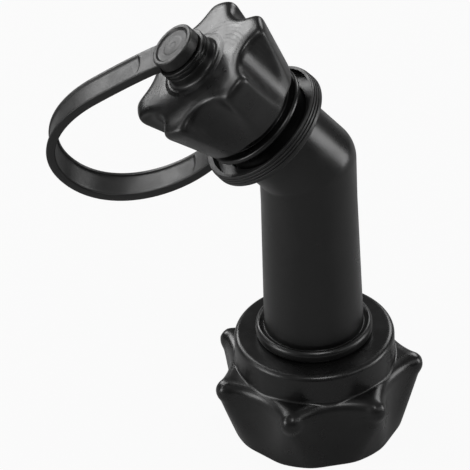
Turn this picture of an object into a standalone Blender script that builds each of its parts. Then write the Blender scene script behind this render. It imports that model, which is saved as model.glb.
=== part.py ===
"""Pour spout for a jerrycan: tube, coupling nut, gasket, screw cap, cap seal and retaining strap.

The origin is the centre of the nut's bottom rim and +Z runs up the straight part of the tube. The tube
bends towards -X. Sizes below are millimetres; the model is in metres.
"""

import math

import bmesh
import bpy
from mathutils import Matrix, Vector

MM = 0.001
COLLECTION_NAME = "jerrycan_pour_spout"

# Clearances
FACE_GAP = 0.3
RADIAL_GAP = 0.4
FLANGE_GAP = 0.7
COLLAR_PLAY = 2.5

# Small rounding of moulded edges
EDGE_BREAK = 0.4

# Bent tube
BEND_DEG = 39.0
ELBOW_HEIGHT = 104.0
TUBE_BASE_RADIUS = 16.8
TUBE_TOP_RADIUS = 15.7
TAPER_END_BELOW_ELBOW = 14.0
TUBE_BASE_WALL = 2.6
TUBE_TOP_WALL = 2.7
ELBOW_BACK_FILLET = 12.0
ELBOW_SIDE_FILLET = 2.0
FLANGE_THICKNESS = 3.0
SPIGOT_STEP = 0.6
BEAD_PROUD = 2.8
BEAD_HEIGHT = 4.2
BEAD_FOOT_FILLET = 1.2
BEAD_TOP_FILLET = 1.6
BEAD_CROWN_DROP = 0.6
BEAD_GROOVE_DEPTH = 0.8
BEAD_GROOVE_WIDTH = 0.5
SHOULDER_STATION = 17.0
SHOULDER_PROUD = 3.3
SHOULDER_THICKNESS = 1.6
SHOULDER_FILLET = 0.5
NECK_BEAD_PROUD = 2.2
NECK_BEAD_THICKNESS = 1.9
NECK_BEAD_FILLET = 0.7
NECK_CORE_STEP = 0.7
MOUTH_STATION = 50.1
MOUTH_EDGE_FILLET = 0.8

# Coupling nut
NUT_LUGS = 7
NUT_LUG_PHASE_DEG = -118.3
NUT_HEIGHT = 36.65
NUT_TOP_WALL = 3.0
NUT_TOP_FLAT = 4.0
DRUM_WALL = 2.55
DRUM_EDGE_FILLET = 1.7
DRUM_FOOT_HEIGHT = 27.2
NUT_LUG_RADIUS = 37.8
NUT_LUG_HEIGHT = 24.9
NUT_LUG_FILLET = 3.5
NUT_RIM_WALL = 3.1
NUT_RIM_CHAMFER = 0.5
NUT_RIM_LAND = 0.6
NUT_SCOOP_RADIUS = 18.0
NUT_SCOOP_FOOT = 29.0
NUT_SCOOP_LEAN = -0.07
CAN_THREAD_RADIUS = 25.5
SEAT_LEDGE = 1.5
SEAT_BORE_FOOT = 22.0

# Base gasket
GASKET_THICKNESS = 2.5

# Closure cap
CAP_LUGS = 6
CAP_LUG_PHASE_DEG = 49.6
CAP_RIM_GAP = 3.2
CAP_RIM_WALL = 3.0
CAP_LUG_RADIUS = 26.9
CAP_LUG_FILLET = 2.6
CAP_TOP_RISE = 5.5
CAP_TOP_DISH = 0.6
CAP_DISH_FILLET = 4.0
CAP_TOP_LAND = 3.0
CAP_SKIRT_RINGS = (13.0, 6.0, 0.5)
CAP_TOP_WALL = 2.5
CAP_SCOOP_RADIUS = 11.5
CAP_SCOOP_DISTANCE = 19.0
THREAD_ROOM = 1.9
BOSS_RADIUS = 8.9
BOSS_HEIGHT = 6.8
BOSS_FOOT_FILLET = 1.8
BOSS_TOP_FLAT = 2.0
BOSS_BORE_RADIUS = 5.2
BOSS_LIP_RADIUS = 4.0
BOSS_LIP_THICKNESS = 1.5
SEAL_THICKNESS = 1.7

# Retaining strap
COLLAR_WALL = 1.7
COLLAR_LIP_RADIUS = 20.2
COLLAR_FLOOR = 1.8
COLLAR_LENGTH = 4.7
COLLAR_STEP = 0.3
STRAP_AZIMUTH_DEG = 159.8
BAND_WIDTH = 10.2
BAND_THICKNESS = 3.0
BAND_RIM_WIDTH = 1.2
BAND_RECESS_DEPTH = 0.5
BAND_RECESS_SLOPE = 0.3
BAND_RECESS_TRACE = 0.02
LOOP_REACH = 63.9
LOOP_REACH_STATION = 44.8
LOOP_CREST_RISE = 3.9
LOOP_CREST_RADIUS = 34.6
ROOT_STANDOFF = 0.5
ROOT_DROP = 0.5
ROOT_HANDLE = (0.46, -0.09)
REACH_HANDLES = (0.80, 0.62)
CREST_HANDLES = (0.58, 0.15)
BUTTON_HANDLE = (0.05, 0.05)
BUTTON_OVERLAP = 2.2
BUTTON_LIFT = -0.8
BUTTON_RADIUS = 7.8
BUTTON_THICKNESS = 4.0
BUTTON_RIM_WIDTH = 1.3
BUTTON_DISH_DEPTH = 0.5
BUTTON_DISH_SLOPE = 0.4
STEM_RADIUS = 3.6
BARB_RADIUS = 4.6
BARB_LENGTH = 1.6
STEM_TAPER = 0.6

# Mesh fineness
ROUND_SEGMENTS = 48
SEGMENTS_PER_LUG = 12
ARC_STEP_DEG = 45.0
ELBOW_STEPS = 5
BAND_STEPS = 9
LUG_EDGE_ROUNDING = 1.6
SMALL_TURN_SEGMENTS = 32
SHARP_ANGLE_DEG = 35.0
CUTTER_OVERRUN = 1.0
PANEL_END_STEPS = 2

# Heights and stations that follow from the sizes above
FLANGE_TOP = NUT_HEIGHT - NUT_TOP_WALL - FACE_GAP
FLANGE_BOTTOM = FLANGE_TOP - FLANGE_THICKNESS
GASKET_TOP = FLANGE_BOTTOM - FACE_GAP
GASKET_BOTTOM = GASKET_TOP - GASKET_THICKNESS
BEAD_BOTTOM = NUT_HEIGHT + FACE_GAP
TAPER_END = ELBOW_HEIGHT - TAPER_END_BELOW_ELBOW
COLLAR_BACK = SHOULDER_STATION + SHOULDER_THICKNESS + FACE_GAP
COLLAR_FRONT = COLLAR_BACK + COLLAR_LENGTH
COLLAR_OUTER_RADIUS = COLLAR_LIP_RADIUS + COLLAR_WALL
SPIGOT_RADIUS = TUBE_BASE_RADIUS - SPIGOT_STEP
BEAD_RADIUS = TUBE_BASE_RADIUS + BEAD_PROUD
BORE_BASE_RADIUS = TUBE_BASE_RADIUS - TUBE_BASE_WALL
BORE_TOP_RADIUS = TUBE_TOP_RADIUS - TUBE_TOP_WALL
SHOULDER_RADIUS = TUBE_TOP_RADIUS + SHOULDER_PROUD
NECK_BEAD_RADIUS = TUBE_TOP_RADIUS + NECK_BEAD_PROUD
NECK_CORE_RADIUS = TUBE_TOP_RADIUS - NECK_CORE_STEP
CAP_BORE_RADIUS = NECK_CORE_RADIUS + THREAD_ROOM
CAP_RIM_RADIUS = CAP_BORE_RADIUS + CAP_RIM_WALL
CAN_BORE_RADIUS = CAN_THREAD_RADIUS + RADIAL_GAP
SEAT_BORE_RADIUS = CAN_BORE_RADIUS - SEAT_LEDGE
FLANGE_RADIUS = SEAT_BORE_RADIUS - FLANGE_GAP
NUT_RIM_RADIUS = CAN_BORE_RADIUS + NUT_RIM_WALL
DRUM_RADIUS = SEAT_BORE_RADIUS + DRUM_WALL
NECK_BEAD_STATION = COLLAR_FRONT + COLLAR_PLAY
CAP_RIM_STATION = NECK_BEAD_STATION + NECK_BEAD_THICKNESS + CAP_RIM_GAP
SEAL_BOTTOM = MOUTH_STATION + FACE_GAP
SEAL_TOP = SEAL_BOTTOM + SEAL_THICKNESS
CAP_CEILING = SEAL_TOP + FACE_GAP
CAP_TOP_STATION = MOUTH_STATION + CAP_TOP_RISE
BOSS_TOP = CAP_TOP_STATION - CAP_TOP_DISH + BOSS_HEIGHT
BOSS_FLOOR = CAP_CEILING + CAP_TOP_WALL
BUTTON_BOTTOM = BOSS_TOP + FACE_GAP
BUTTON_TOP = BUTTON_BOTTOM + BUTTON_THICKNESS
BARB_TOP = BOSS_TOP - BOSS_LIP_THICKNESS - FACE_GAP
STEM_TIP = BOSS_FLOOR + FACE_GAP
LOOP_CREST_STATION = BUTTON_BOTTOM + LOOP_CREST_RISE

BEND = math.radians(BEND_DEG)
HALF_TANGENT = math.tan(BEND / 2)


def fillet_path(corners):
    """Turns (radius, height, fillet) corners into a path with each fillet as an arc."""
    path = []
    for index, (x, z, fillet) in enumerate(corners):
        here = Vector((x, z))
        if fillet == 0 or index in (0, len(corners) - 1):
            path.append(here)
            continue
        back = (Vector(corners[index - 1][:2]) - here).normalized()
        ahead = (Vector(corners[index + 1][:2]) - here).normalized()
        turn = math.pi - back.angle(ahead)
        reach = fillet * math.tan(turn / 2)
        start = here + back * reach
        centre = here + (back + ahead).normalized() * fillet / math.cos(turn / 2)
        steps = max(2, math.ceil(math.degrees(turn) / ARC_STEP_DEG))
        side = 1 if back.x * ahead.y - back.y * ahead.x < 0 else -1
        arm = start - centre
        for step in range(steps + 1):
            angle = side * turn * step / steps
            cos, sin = math.cos(angle), math.sin(angle)
            path.append(centre + Vector((arm.x * cos - arm.y * sin, arm.x * sin + arm.y * cos)))
    return path


def plastic(name, value, roughness):
    """A plain dark polyethylene material."""
    material = bpy.data.materials.new(name)
    material.use_nodes = True
    shader = material.node_tree.nodes["Principled BSDF"]
    shader.inputs["Base Color"].default_value = (value, value, value, 1.0)
    shader.inputs["Roughness"].default_value = roughness
    shader.inputs["Metallic"].default_value = 0.0
    return material


def add_object(name, mesh, collection, parent=None):
    """Links a new mesh object into a collection, in the frame of its parent."""
    obj = bpy.data.objects.new(name, mesh)
    collection.objects.link(obj)
    obj.parent = parent
    return obj


def add_cutter(name, mesh, scene_parts, parent=None):
    """Links a mesh that only cuts or joins another one."""
    obj = add_object(name, mesh, scene_parts["cutters"], parent)
    obj.hide_render = True
    obj.display_type = "WIRE"
    return obj


def loft(name, rings):
    """A closed mesh through rings of equally many points, with a flat face on each end."""
    mesh = bpy.data.meshes.new(name)
    bm = bmesh.new()
    loops = [[bm.verts.new(Vector(point) * MM) for point in ring] for ring in rings]
    count = len(loops[0])
    for low, high in zip(loops, loops[1:]):
        for index in range(count):
            after = (index + 1) % count
            bm.faces.new((low[index], low[after], high[after], high[index]))
    bm.faces.new(loops[0])
    bm.faces.new(loops[-1])
    bmesh.ops.recalc_face_normals(bm, faces=bm.faces)
    bm.to_mesh(mesh)
    bm.free()
    mesh.shade_smooth()
    mesh.set_sharp_from_angle(angle=math.radians(SHARP_ANGLE_DEG))
    return mesh


def turned(name, corners, closed, segments=ROUND_SEGMENTS):
    """A turned mesh: the profile runs down its outer side, and a Screw modifier turns it about Z."""
    path = fillet_path(corners)
    profile = bpy.data.meshes.new(name + "_profile")
    bm = bmesh.new()
    verts = [bm.verts.new((point.x * MM, 0.0, point.y * MM)) for point in path]
    for first, second in zip(verts, verts[1:]):
        bm.edges.new((first, second))
    if closed:
        bm.edges.new((verts[-1], verts[0]))
    bm.to_mesh(profile)
    bm.free()
    guide = bpy.data.objects.new(name + "_guide", profile)
    bpy.context.scene.collection.objects.link(guide)
    screw = guide.modifiers.new("turn", "SCREW")
    screw.axis = "Z"
    screw.angle = 2 * math.pi
    screw.steps = segments
    screw.render_steps = segments
    screw.use_merge_vertices = True
    screw.merge_threshold = 0.00001
    depsgraph = bpy.context.evaluated_depsgraph_get()
    mesh = bpy.data.meshes.new_from_object(guide.evaluated_get(depsgraph))
    mesh.name = name
    bpy.data.objects.remove(guide)
    mesh.shade_smooth()
    mesh.set_sharp_from_angle(angle=math.radians(SHARP_ANGLE_DEG))
    return mesh


def boolean(obj, other, operation):
    """Adds an exact Boolean of another object."""
    modifier = obj.modifiers.new(operation.lower(), "BOOLEAN")
    modifier.operation = operation
    modifier.solver = "EXACT"
    modifier.object = other


def circle_ring(radius, height, segments=ROUND_SEGMENTS):
    """Points of a level circle about Z."""
    angles = [2 * math.pi * index / segments for index in range(segments)]
    return [Vector((radius * math.cos(a), radius * math.sin(a), height)) for a in angles]


def neck_matrix():
    """The neck's frame: its origin at the elbow, Z along the neck, X away from the bend."""
    return Matrix.Translation((0.0, 0.0, ELBOW_HEIGHT)) @ Matrix.Rotation(-BEND, 4, "Y")


def elbow_ring(radius, back_fillet, share):
    """One ring of a mitred bend whose back is rounded and whose sides keep a soft crease."""
    ring = []
    for index in range(ROUND_SEGMENTS):
        angle = 2 * math.pi * index / ROUND_SEGMENTS
        x, y = radius * math.cos(angle), radius * math.sin(angle)
        backness = max(0.0, math.cos(angle)) ** 2
        fillet = ELBOW_SIDE_FILLET + (back_fillet - ELBOW_SIDE_FILLET) * backness
        start = ELBOW_HEIGHT + (x - fillet) * HALF_TANGENT
        turn = BEND * share
        shift = fillet * (1 - math.cos(turn))
        ring.append(Vector((x - shift, y, start + fillet * math.sin(turn))))
    return ring


def bent_loft(name, base_path, neck_path, back_fillet):
    """A turned profile that follows the straight tube, the elbow and the neck."""
    frame = neck_matrix()
    radius = base_path[-1].x
    rings = [circle_ring(point.x, point.y) for point in base_path]
    rings += [elbow_ring(radius, back_fillet, step / ELBOW_STEPS) for step in range(ELBOW_STEPS + 1)]
    rings += [[frame @ point for point in circle_ring(p.x, p.y)] for p in neck_path]
    return loft(name, rings)


def scooped_radius(round_radius, offset, distance, scoop_radius):
    """Radius at an angle off a scoop's middle, where a hollow scoop cuts a round body, edge rounded."""
    cos, sin = math.cos(offset), math.sin(offset)
    root = cos * cos - 2 * distance * sin * sin / scoop_radius
    if root <= 0:
        return round_radius
    scoop = 2 * distance / (cos + math.sqrt(root))
    overlap = max(LUG_EDGE_ROUNDING - abs(round_radius - scoop), 0) / LUG_EDGE_ROUNDING
    return min(round_radius, scoop) - overlap * overlap * LUG_EDGE_ROUNDING / 4


def lobed_rings(path, lugs, phase_deg, scoop_radius, distance_at):
    """Rings of a turned body with a scoop cut between each two lugs."""
    rings = []
    segments = lugs * SEGMENTS_PER_LUG
    pitch = 2 * math.pi / lugs
    for point in path:
        ring = []
        for index in range(segments):
            turn = 2 * math.pi * index / segments
            offset = (turn % pitch) - pitch / 2
            radius = scooped_radius(point.x, offset, distance_at(point.y), scoop_radius)
            angle = turn + math.radians(phase_deg)
            ring.append(Vector((radius * math.cos(angle), radius * math.sin(angle), point.y)))
        rings.append(ring)
    return rings


def spout_tube(scene_parts, material):
    """The bent pouring tube with its flange, beads, shoulder and mouth."""
    taper = (TUBE_BASE_RADIUS - TUBE_TOP_RADIUS) / (TAPER_END - FLANGE_TOP)
    bead_foot = TUBE_BASE_RADIUS - taper * (BEAD_BOTTOM - FLANGE_TOP)
    bead_top = BEAD_BOTTOM + BEAD_HEIGHT
    bead_crown = (BEAD_RADIUS + bead_foot) / 2
    groove_floor = bead_top - BEAD_GROOVE_DEPTH
    tube_at_bead = bead_foot - taper * (groove_floor - BEAD_BOTTOM)
    base = fillet_path([
        (SPIGOT_RADIUS, GASKET_BOTTOM, 0),
        (SPIGOT_RADIUS, FLANGE_BOTTOM, 0),
        (FLANGE_RADIUS, FLANGE_BOTTOM, 0),
        (FLANGE_RADIUS, FLANGE_TOP, 0),
        (TUBE_BASE_RADIUS, FLANGE_TOP, 0),
        (bead_foot, BEAD_BOTTOM, 0),
        (BEAD_RADIUS, BEAD_BOTTOM, BEAD_FOOT_FILLET),
        (BEAD_RADIUS, bead_top - BEAD_CROWN_DROP, BEAD_TOP_FILLET),
        (bead_crown, bead_top, EDGE_BREAK),
        (tube_at_bead + BEAD_GROOVE_WIDTH, groove_floor, 0),
        (tube_at_bead, groove_floor, 0),
        (TUBE_TOP_RADIUS, TAPER_END, 0),
    ])
    shoulder_front = SHOULDER_STATION + SHOULDER_THICKNESS
    bead_front = NECK_BEAD_STATION + NECK_BEAD_THICKNESS
    neck = fillet_path([
        (TUBE_TOP_RADIUS, SHOULDER_STATION, 0),
        (SHOULDER_RADIUS, SHOULDER_STATION, SHOULDER_FILLET),
        (SHOULDER_RADIUS, shoulder_front, SHOULDER_FILLET),
        (TUBE_TOP_RADIUS, shoulder_front, 0),
        (TUBE_TOP_RADIUS, NECK_BEAD_STATION, 0),
        (NECK_BEAD_RADIUS, NECK_BEAD_STATION, NECK_BEAD_FILLET),
        (NECK_BEAD_RADIUS, bead_front, NECK_BEAD_FILLET),
        (NECK_CORE_RADIUS, bead_front, 0),
        (NECK_CORE_RADIUS, MOUTH_STATION, MOUTH_EDGE_FILLET),
        (BORE_TOP_RADIUS, MOUTH_STATION, 0),
    ])
    body = bent_loft("spout_tube", base, neck, ELBOW_BACK_FILLET)
    bore_base = fillet_path([
        (BORE_BASE_RADIUS, GASKET_BOTTOM - CUTTER_OVERRUN, 0),
        (BORE_BASE_RADIUS, FLANGE_BOTTOM, 0),
        (BORE_TOP_RADIUS, TAPER_END, 0),
    ])
    bore_neck = fillet_path([
        (BORE_TOP_RADIUS, SHOULDER_STATION, 0),
        (BORE_TOP_RADIUS, MOUTH_STATION + CUTTER_OVERRUN, 0),
    ])
    wall = TUBE_TOP_RADIUS - BORE_TOP_RADIUS
    bore = bent_loft("tube_bore", bore_base, bore_neck, ELBOW_BACK_FILLET - wall)
    tube = add_object("spout_tube", body, scene_parts["parts"])
    tube.data.materials.append(material)
    boolean(tube, add_cutter("tube_bore", bore, scene_parts), "DIFFERENCE")
    return tube


def nut_scoop_distance(height):
    """How far from the nut's axis a scoop's middle lies at a height; the drum above stays round."""
    if height > DRUM_FOOT_HEIGHT - EDGE_BREAK:
        return NUT_LUG_RADIUS
    return NUT_SCOOP_FOOT + NUT_SCOOP_LEAN * height


def coupling_nut(scene_parts, material, parent):
    """The loose union nut: drum, lobed skirt and a stepped bore."""
    path = fillet_path([
        (DRUM_RADIUS - NUT_TOP_FLAT, NUT_HEIGHT, 0),
        (DRUM_RADIUS, NUT_HEIGHT, DRUM_EDGE_FILLET),
        (DRUM_RADIUS, DRUM_FOOT_HEIGHT, 0),
        (NUT_LUG_RADIUS, NUT_LUG_HEIGHT, NUT_LUG_FILLET),
        ((NUT_RIM_RADIUS + NUT_LUG_RADIUS) / 2, NUT_LUG_HEIGHT / 2, 0),
        (NUT_RIM_RADIUS, NUT_RIM_LAND, EDGE_BREAK),
        (NUT_RIM_RADIUS - NUT_RIM_CHAMFER, 0, 0),
    ])
    rings = lobed_rings(path, NUT_LUGS, NUT_LUG_PHASE_DEG, NUT_SCOOP_RADIUS, nut_scoop_distance)
    nut = add_object("coupling_nut", loft("coupling_nut", rings), scene_parts["parts"], parent)
    nut.data.materials.append(material)
    hole = TUBE_BASE_RADIUS + RADIAL_GAP
    ceiling = NUT_HEIGHT - NUT_TOP_WALL
    cutter = turned("nut_bore", [
        (0, NUT_HEIGHT + CUTTER_OVERRUN, 0),
        (hole, NUT_HEIGHT + CUTTER_OVERRUN, 0),
        (hole, ceiling, 0),
        (SEAT_BORE_RADIUS, ceiling, 0),
        (SEAT_BORE_RADIUS, SEAT_BORE_FOOT, 0),
        (CAN_BORE_RADIUS, SEAT_BORE_FOOT - SEAT_LEDGE, 0),
        (CAN_BORE_RADIUS, -CUTTER_OVERRUN, 0),
        (0, -CUTTER_OVERRUN, 0),
    ], closed=False)
    boolean(nut, add_cutter("nut_bore", cutter, scene_parts, parent), "DIFFERENCE")
    return nut


def base_gasket(scene_parts, material):
    """The flat ring on the tube's spigot that seals on the can's neck."""
    inner = SPIGOT_RADIUS + FACE_GAP
    mesh = turned("base_gasket", [
        (inner, GASKET_TOP, 0),
        (FLANGE_RADIUS, GASKET_TOP, 0),
        (FLANGE_RADIUS, GASKET_BOTTOM, 0),
        (inner, GASKET_BOTTOM, 0),
    ], closed=True)
    gasket = add_object("base_gasket", mesh, scene_parts["parts"])
    gasket.data.materials.append(material)
    return gasket


def closure_cap(scene_parts, material, parent):
    """The screw cap: lobed skirt, dished top and a hollow boss for the strap's stem."""
    rim_slope = (CAP_LUG_RADIUS - CAP_RIM_RADIUS) / (CAP_TOP_STATION - CAP_RIM_STATION)
    boss_foot = CAP_TOP_STATION - CAP_TOP_DISH
    path = fillet_path([
        (BOSS_RADIUS - BOSS_TOP_FLAT, BOSS_TOP, 0),
        (BOSS_RADIUS, BOSS_TOP, EDGE_BREAK),
        (BOSS_RADIUS, boss_foot, BOSS_FOOT_FILLET),
        (CAP_SCOOP_DISTANCE - CAP_TOP_LAND, boss_foot, CAP_DISH_FILLET),
        (CAP_LUG_RADIUS - CAP_TOP_LAND, CAP_TOP_STATION, 0),
        (CAP_LUG_RADIUS, CAP_TOP_STATION, CAP_LUG_FILLET),
        *[(CAP_RIM_RADIUS + up * rim_slope, CAP_RIM_STATION + up, 0) for up in CAP_SKIRT_RINGS],
        (CAP_RIM_RADIUS - EDGE_BREAK, CAP_RIM_STATION, 0),
    ])
    rings = lobed_rings(
        path, CAP_LUGS, CAP_LUG_PHASE_DEG, CAP_SCOOP_RADIUS, lambda station: CAP_SCOOP_DISTANCE
    )
    cap = add_object("closure_cap", loft("closure_cap", rings), scene_parts["parts"], parent)
    cap.data.materials.append(material)
    cavity = turned("cap_cavity", [
        (0, CAP_CEILING, 0),
        (CAP_BORE_RADIUS, CAP_CEILING, 0),
        (CAP_BORE_RADIUS, CAP_RIM_STATION - CUTTER_OVERRUN, 0),
        (0, CAP_RIM_STATION - CUTTER_OVERRUN, 0),
    ], closed=False)
    lip_foot = BOSS_TOP - BOSS_LIP_THICKNESS
    socket = turned("boss_socket", [
        (0, BOSS_TOP + CUTTER_OVERRUN, 0),
        (BOSS_LIP_RADIUS, BOSS_TOP + CUTTER_OVERRUN, 0),
        (BOSS_LIP_RADIUS, lip_foot, 0),
        (BOSS_BORE_RADIUS, lip_foot, 0),
        (BOSS_BORE_RADIUS, BOSS_FLOOR, 0),
        (0, BOSS_FLOOR, 0),
    ], closed=False, segments=SMALL_TURN_SEGMENTS)
    boolean(cap, add_cutter("cap_cavity", cavity, scene_parts, parent), "DIFFERENCE")
    boolean(cap, add_cutter("boss_socket", socket, scene_parts, parent), "DIFFERENCE")
    return cap


def cap_seal(scene_parts, material, parent):
    """The liner disc that the cap presses on the mouth."""
    radius = CAP_BORE_RADIUS - RADIAL_GAP
    mesh = turned("cap_seal", [
        (0, SEAL_TOP, 0),
        (radius, SEAL_TOP, 0),
        (radius, SEAL_BOTTOM, 0),
        (0, SEAL_BOTTOM, 0),
    ], closed=False)
    seal = add_object("cap_seal", mesh, scene_parts["parts"], parent)
    seal.data.materials.append(material)
    return seal


def bezier(points, share):
    """A point and its tangent on a cubic Bezier curve."""
    a, b, c, d = points
    rest = 1 - share
    point = a * rest**3 + b * 3 * rest**2 * share + c * 3 * rest * share**2 + d * share**3
    tangent = (b - a) * rest**2 + (c - b) * 2 * rest * share + (d - c) * share**2
    return point, tangent.normalized()


def loop_curve():
    """The strap's centreline in the loop's plane, as (distance from the neck's axis, station)."""
    root = Vector((COLLAR_LIP_RADIUS + ROOT_STANDOFF, COLLAR_FRONT - BAND_THICKNESS / 2 - ROOT_DROP))
    far = Vector((LOOP_REACH, LOOP_REACH_STATION))
    crest = Vector((LOOP_CREST_RADIUS, LOOP_CREST_STATION))
    button = Vector((BUTTON_RADIUS - BUTTON_OVERLAP, BUTTON_BOTTOM + BUTTON_THICKNESS / 2 + BUTTON_LIFT))
    span = crest.x - button.x
    leave_root = root + Vector(ROOT_HANDLE) * (far.x - root.x)
    reach_far = far - Vector((0, REACH_HANDLES[0] * (far.y - root.y)))
    leave_far = far + Vector((0, REACH_HANDLES[1] * (crest.y - far.y)))
    reach_crest = crest + Vector((CREST_HANDLES[0] * (far.x - crest.x), 0))
    leave_crest = crest - Vector((CREST_HANDLES[1] * span, 0))
    reach_button = button + Vector(BUTTON_HANDLE) * span
    return [
        (root, leave_root, reach_far, far),
        (far, leave_far, reach_crest, crest),
        (crest, leave_crest, reach_button, button),
    ]


def band_section(recess, thickness):
    """(across, rise) points of the band, with a shallow panel on each face."""
    edge = BAND_WIDTH / 2
    panel = edge - BAND_RIM_WIDTH
    floor = panel - BAND_RECESS_SLOPE
    high = thickness / 2
    low = high - recess
    right = [(floor, low), (panel, high), (edge, high)]
    upper = [(-across, rise) for across, rise in reversed(right)] + right
    return upper + [(across, -rise) for across, rise in reversed(upper)]


def strap_band(name):
    """The band: its H section swept along the loop, with the panels fading out at both ends."""
    outward = Matrix.Rotation(math.radians(STRAP_AZIMUTH_DEG), 4, "Z")
    pieces = loop_curve()
    total = len(pieces) * BAND_STEPS
    rings = []
    for number, piece in enumerate(pieces):
        first = 0 if number == 0 else 1
        for step in range(first, BAND_STEPS + 1):
            centre, tangent = bezier(piece, step / BAND_STEPS)
            place = number * BAND_STEPS + step
            ends = min(place - PANEL_END_STEPS, total - PANEL_END_STEPS - 1 - place)
            recess = BAND_RECESS_DEPTH * min(1.0, max(BAND_RECESS_TRACE, ends / PANEL_END_STEPS))
            side = Vector((-tangent.y, tangent.x))
            ring = []
            for across, rise in band_section(recess, BAND_THICKNESS):
                flat = centre + side * rise
                ring.append(outward @ Vector((flat.x, across, flat.y)))
            rings.append(ring)
    return loft(name, rings)


def retaining_strap(scene_parts, material, parent):
    """One moulding: collar round the neck, looped band, and a button with a barbed stem."""
    floor_front = COLLAR_BACK + COLLAR_FLOOR
    inner = TUBE_TOP_RADIUS + RADIAL_GAP
    outer = COLLAR_OUTER_RADIUS
    third = COLLAR_LENGTH / 3
    collar = turned("retaining_strap", [
        (COLLAR_LIP_RADIUS, COLLAR_FRONT, 0),
        (outer - 2 * COLLAR_STEP, COLLAR_FRONT, 0),
        (outer - 2 * COLLAR_STEP, COLLAR_FRONT - third, 0),
        (outer - COLLAR_STEP, COLLAR_FRONT - third, 0),
        (outer - COLLAR_STEP, COLLAR_FRONT - 2 * third, 0),
        (outer, COLLAR_FRONT - 2 * third, 0),
        (outer, COLLAR_BACK, 0),
        (inner, COLLAR_BACK, 0),
        (inner, floor_front, 0),
        (COLLAR_LIP_RADIUS, floor_front, 0),
    ], closed=True)
    strap = add_object("retaining_strap", collar, scene_parts["parts"], parent)
    strap.data.materials.append(material)
    dish_radius = BUTTON_RADIUS - BUTTON_RIM_WIDTH
    button = turned("strap_button", [
        (0, BUTTON_TOP - BUTTON_DISH_DEPTH, 0),
        (dish_radius - BUTTON_DISH_SLOPE, BUTTON_TOP - BUTTON_DISH_DEPTH, 0),
        (dish_radius, BUTTON_TOP, 0),
        (BUTTON_RADIUS, BUTTON_TOP, EDGE_BREAK),
        (BUTTON_RADIUS, BUTTON_BOTTOM, 0),
        (STEM_RADIUS, BUTTON_BOTTOM, 0),
        (STEM_RADIUS, BARB_TOP, 0),
        (BARB_RADIUS, BARB_TOP, 0),
        (BARB_RADIUS, BARB_TOP - EDGE_BREAK, 0),
        (STEM_RADIUS, BARB_TOP - BARB_LENGTH, 0),
        (STEM_RADIUS - STEM_TAPER, STEM_TIP, 0),
        (0, STEM_TIP, 0),
    ], closed=False, segments=SMALL_TURN_SEGMENTS)
    band = strap_band("strap_band")
    boolean(strap, add_cutter("strap_band", band, scene_parts, parent), "UNION")
    boolean(strap, add_cutter("strap_button", button, scene_parts, parent), "UNION")
    return strap


def clear_scene():
    """Removes the objects that the scene starts with."""
    for obj in list(bpy.data.objects):
        bpy.data.objects.remove(obj)


def main():
    """Builds every piece in its place."""
    clear_scene()
    scene_parts = {}
    for key, name in (("parts", COLLECTION_NAME), ("cutters", "cutters")):
        collection = bpy.data.collections.new(name)
        bpy.context.scene.collection.children.link(collection)
        scene_parts[key] = collection
    nut_axis = bpy.data.objects.new("nut_axis", None)
    neck_axis = bpy.data.objects.new("neck_axis", None)
    for empty in (nut_axis, neck_axis):
        scene_parts["parts"].objects.link(empty)
    neck_axis.location = (0.0, 0.0, ELBOW_HEIGHT * MM)
    neck_axis.rotation_euler = (0.0, -BEND, 0.0)
    spout_tube(scene_parts, plastic("tube_polyethylene", 0.018, 0.38))
    base_gasket(scene_parts, plastic("gasket_rubber", 0.012, 0.65))
    coupling_nut(scene_parts, plastic("nut_polyethylene", 0.018, 0.40), nut_axis)
    closure_cap(scene_parts, plastic("cap_polyethylene", 0.020, 0.40), neck_axis)
    cap_seal(scene_parts, plastic("seal_foam", 0.60, 0.70), neck_axis)
    retaining_strap(scene_parts, plastic("strap_polyethylene", 0.026, 0.45), neck_axis)


main()
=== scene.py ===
"""Looks of a jerrycan pour spout: six moulded pieces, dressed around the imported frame.

The pieces are meshed in millimetres, in the frame of the tube or of the slanted neck, and stored in metres. A height
along the slanted neck, counted from the middle of the elbow, is called a station.
"""

import logging
import math
from dataclasses import dataclass, field
from enum import Enum
from typing import Any, Callable, ClassVar, Sequence

import bmesh
import bpy
import numpy as np
from mathutils import Matrix, Vector


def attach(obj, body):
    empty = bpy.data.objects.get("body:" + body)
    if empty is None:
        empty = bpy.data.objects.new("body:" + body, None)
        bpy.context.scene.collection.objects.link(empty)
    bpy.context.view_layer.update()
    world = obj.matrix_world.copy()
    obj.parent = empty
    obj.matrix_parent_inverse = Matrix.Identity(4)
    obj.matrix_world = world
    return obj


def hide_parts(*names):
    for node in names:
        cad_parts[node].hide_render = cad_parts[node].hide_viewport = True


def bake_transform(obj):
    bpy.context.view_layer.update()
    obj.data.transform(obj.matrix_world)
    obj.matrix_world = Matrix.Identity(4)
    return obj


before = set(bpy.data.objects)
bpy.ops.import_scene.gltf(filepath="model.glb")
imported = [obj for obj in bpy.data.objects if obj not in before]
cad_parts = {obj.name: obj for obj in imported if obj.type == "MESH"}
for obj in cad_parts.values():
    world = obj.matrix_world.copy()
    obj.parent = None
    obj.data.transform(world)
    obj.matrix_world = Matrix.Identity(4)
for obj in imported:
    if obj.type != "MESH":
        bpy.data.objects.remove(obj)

LOG = logging.getLogger("pour_spout")
MM = 0.001
BEND_DEG = 39.0
ELBOW_HEIGHT = 104.0
# Points nearer than the first distance are welded, and edges shorter than the second are dissolved, in metres.
WELD = 1e-6
SHORTEST_EDGE = 1e-7
# Edges sharper than this are shaded sharp.
SHARP_DEG = 38.0
# Halvings that bring a ray's crossing of a wall below a millionth of a millimetre.
HALVINGS = 36
# Share of a thread's pitch from the middle of the ridge to the edge of its crest, and to its foot.
CREST_SHARE = 0.12
FOOT_SHARE = 0.25
# Share of a turn in which a thread's ridge runs in from nothing and out again.
RUN_IN = 0.6

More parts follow.
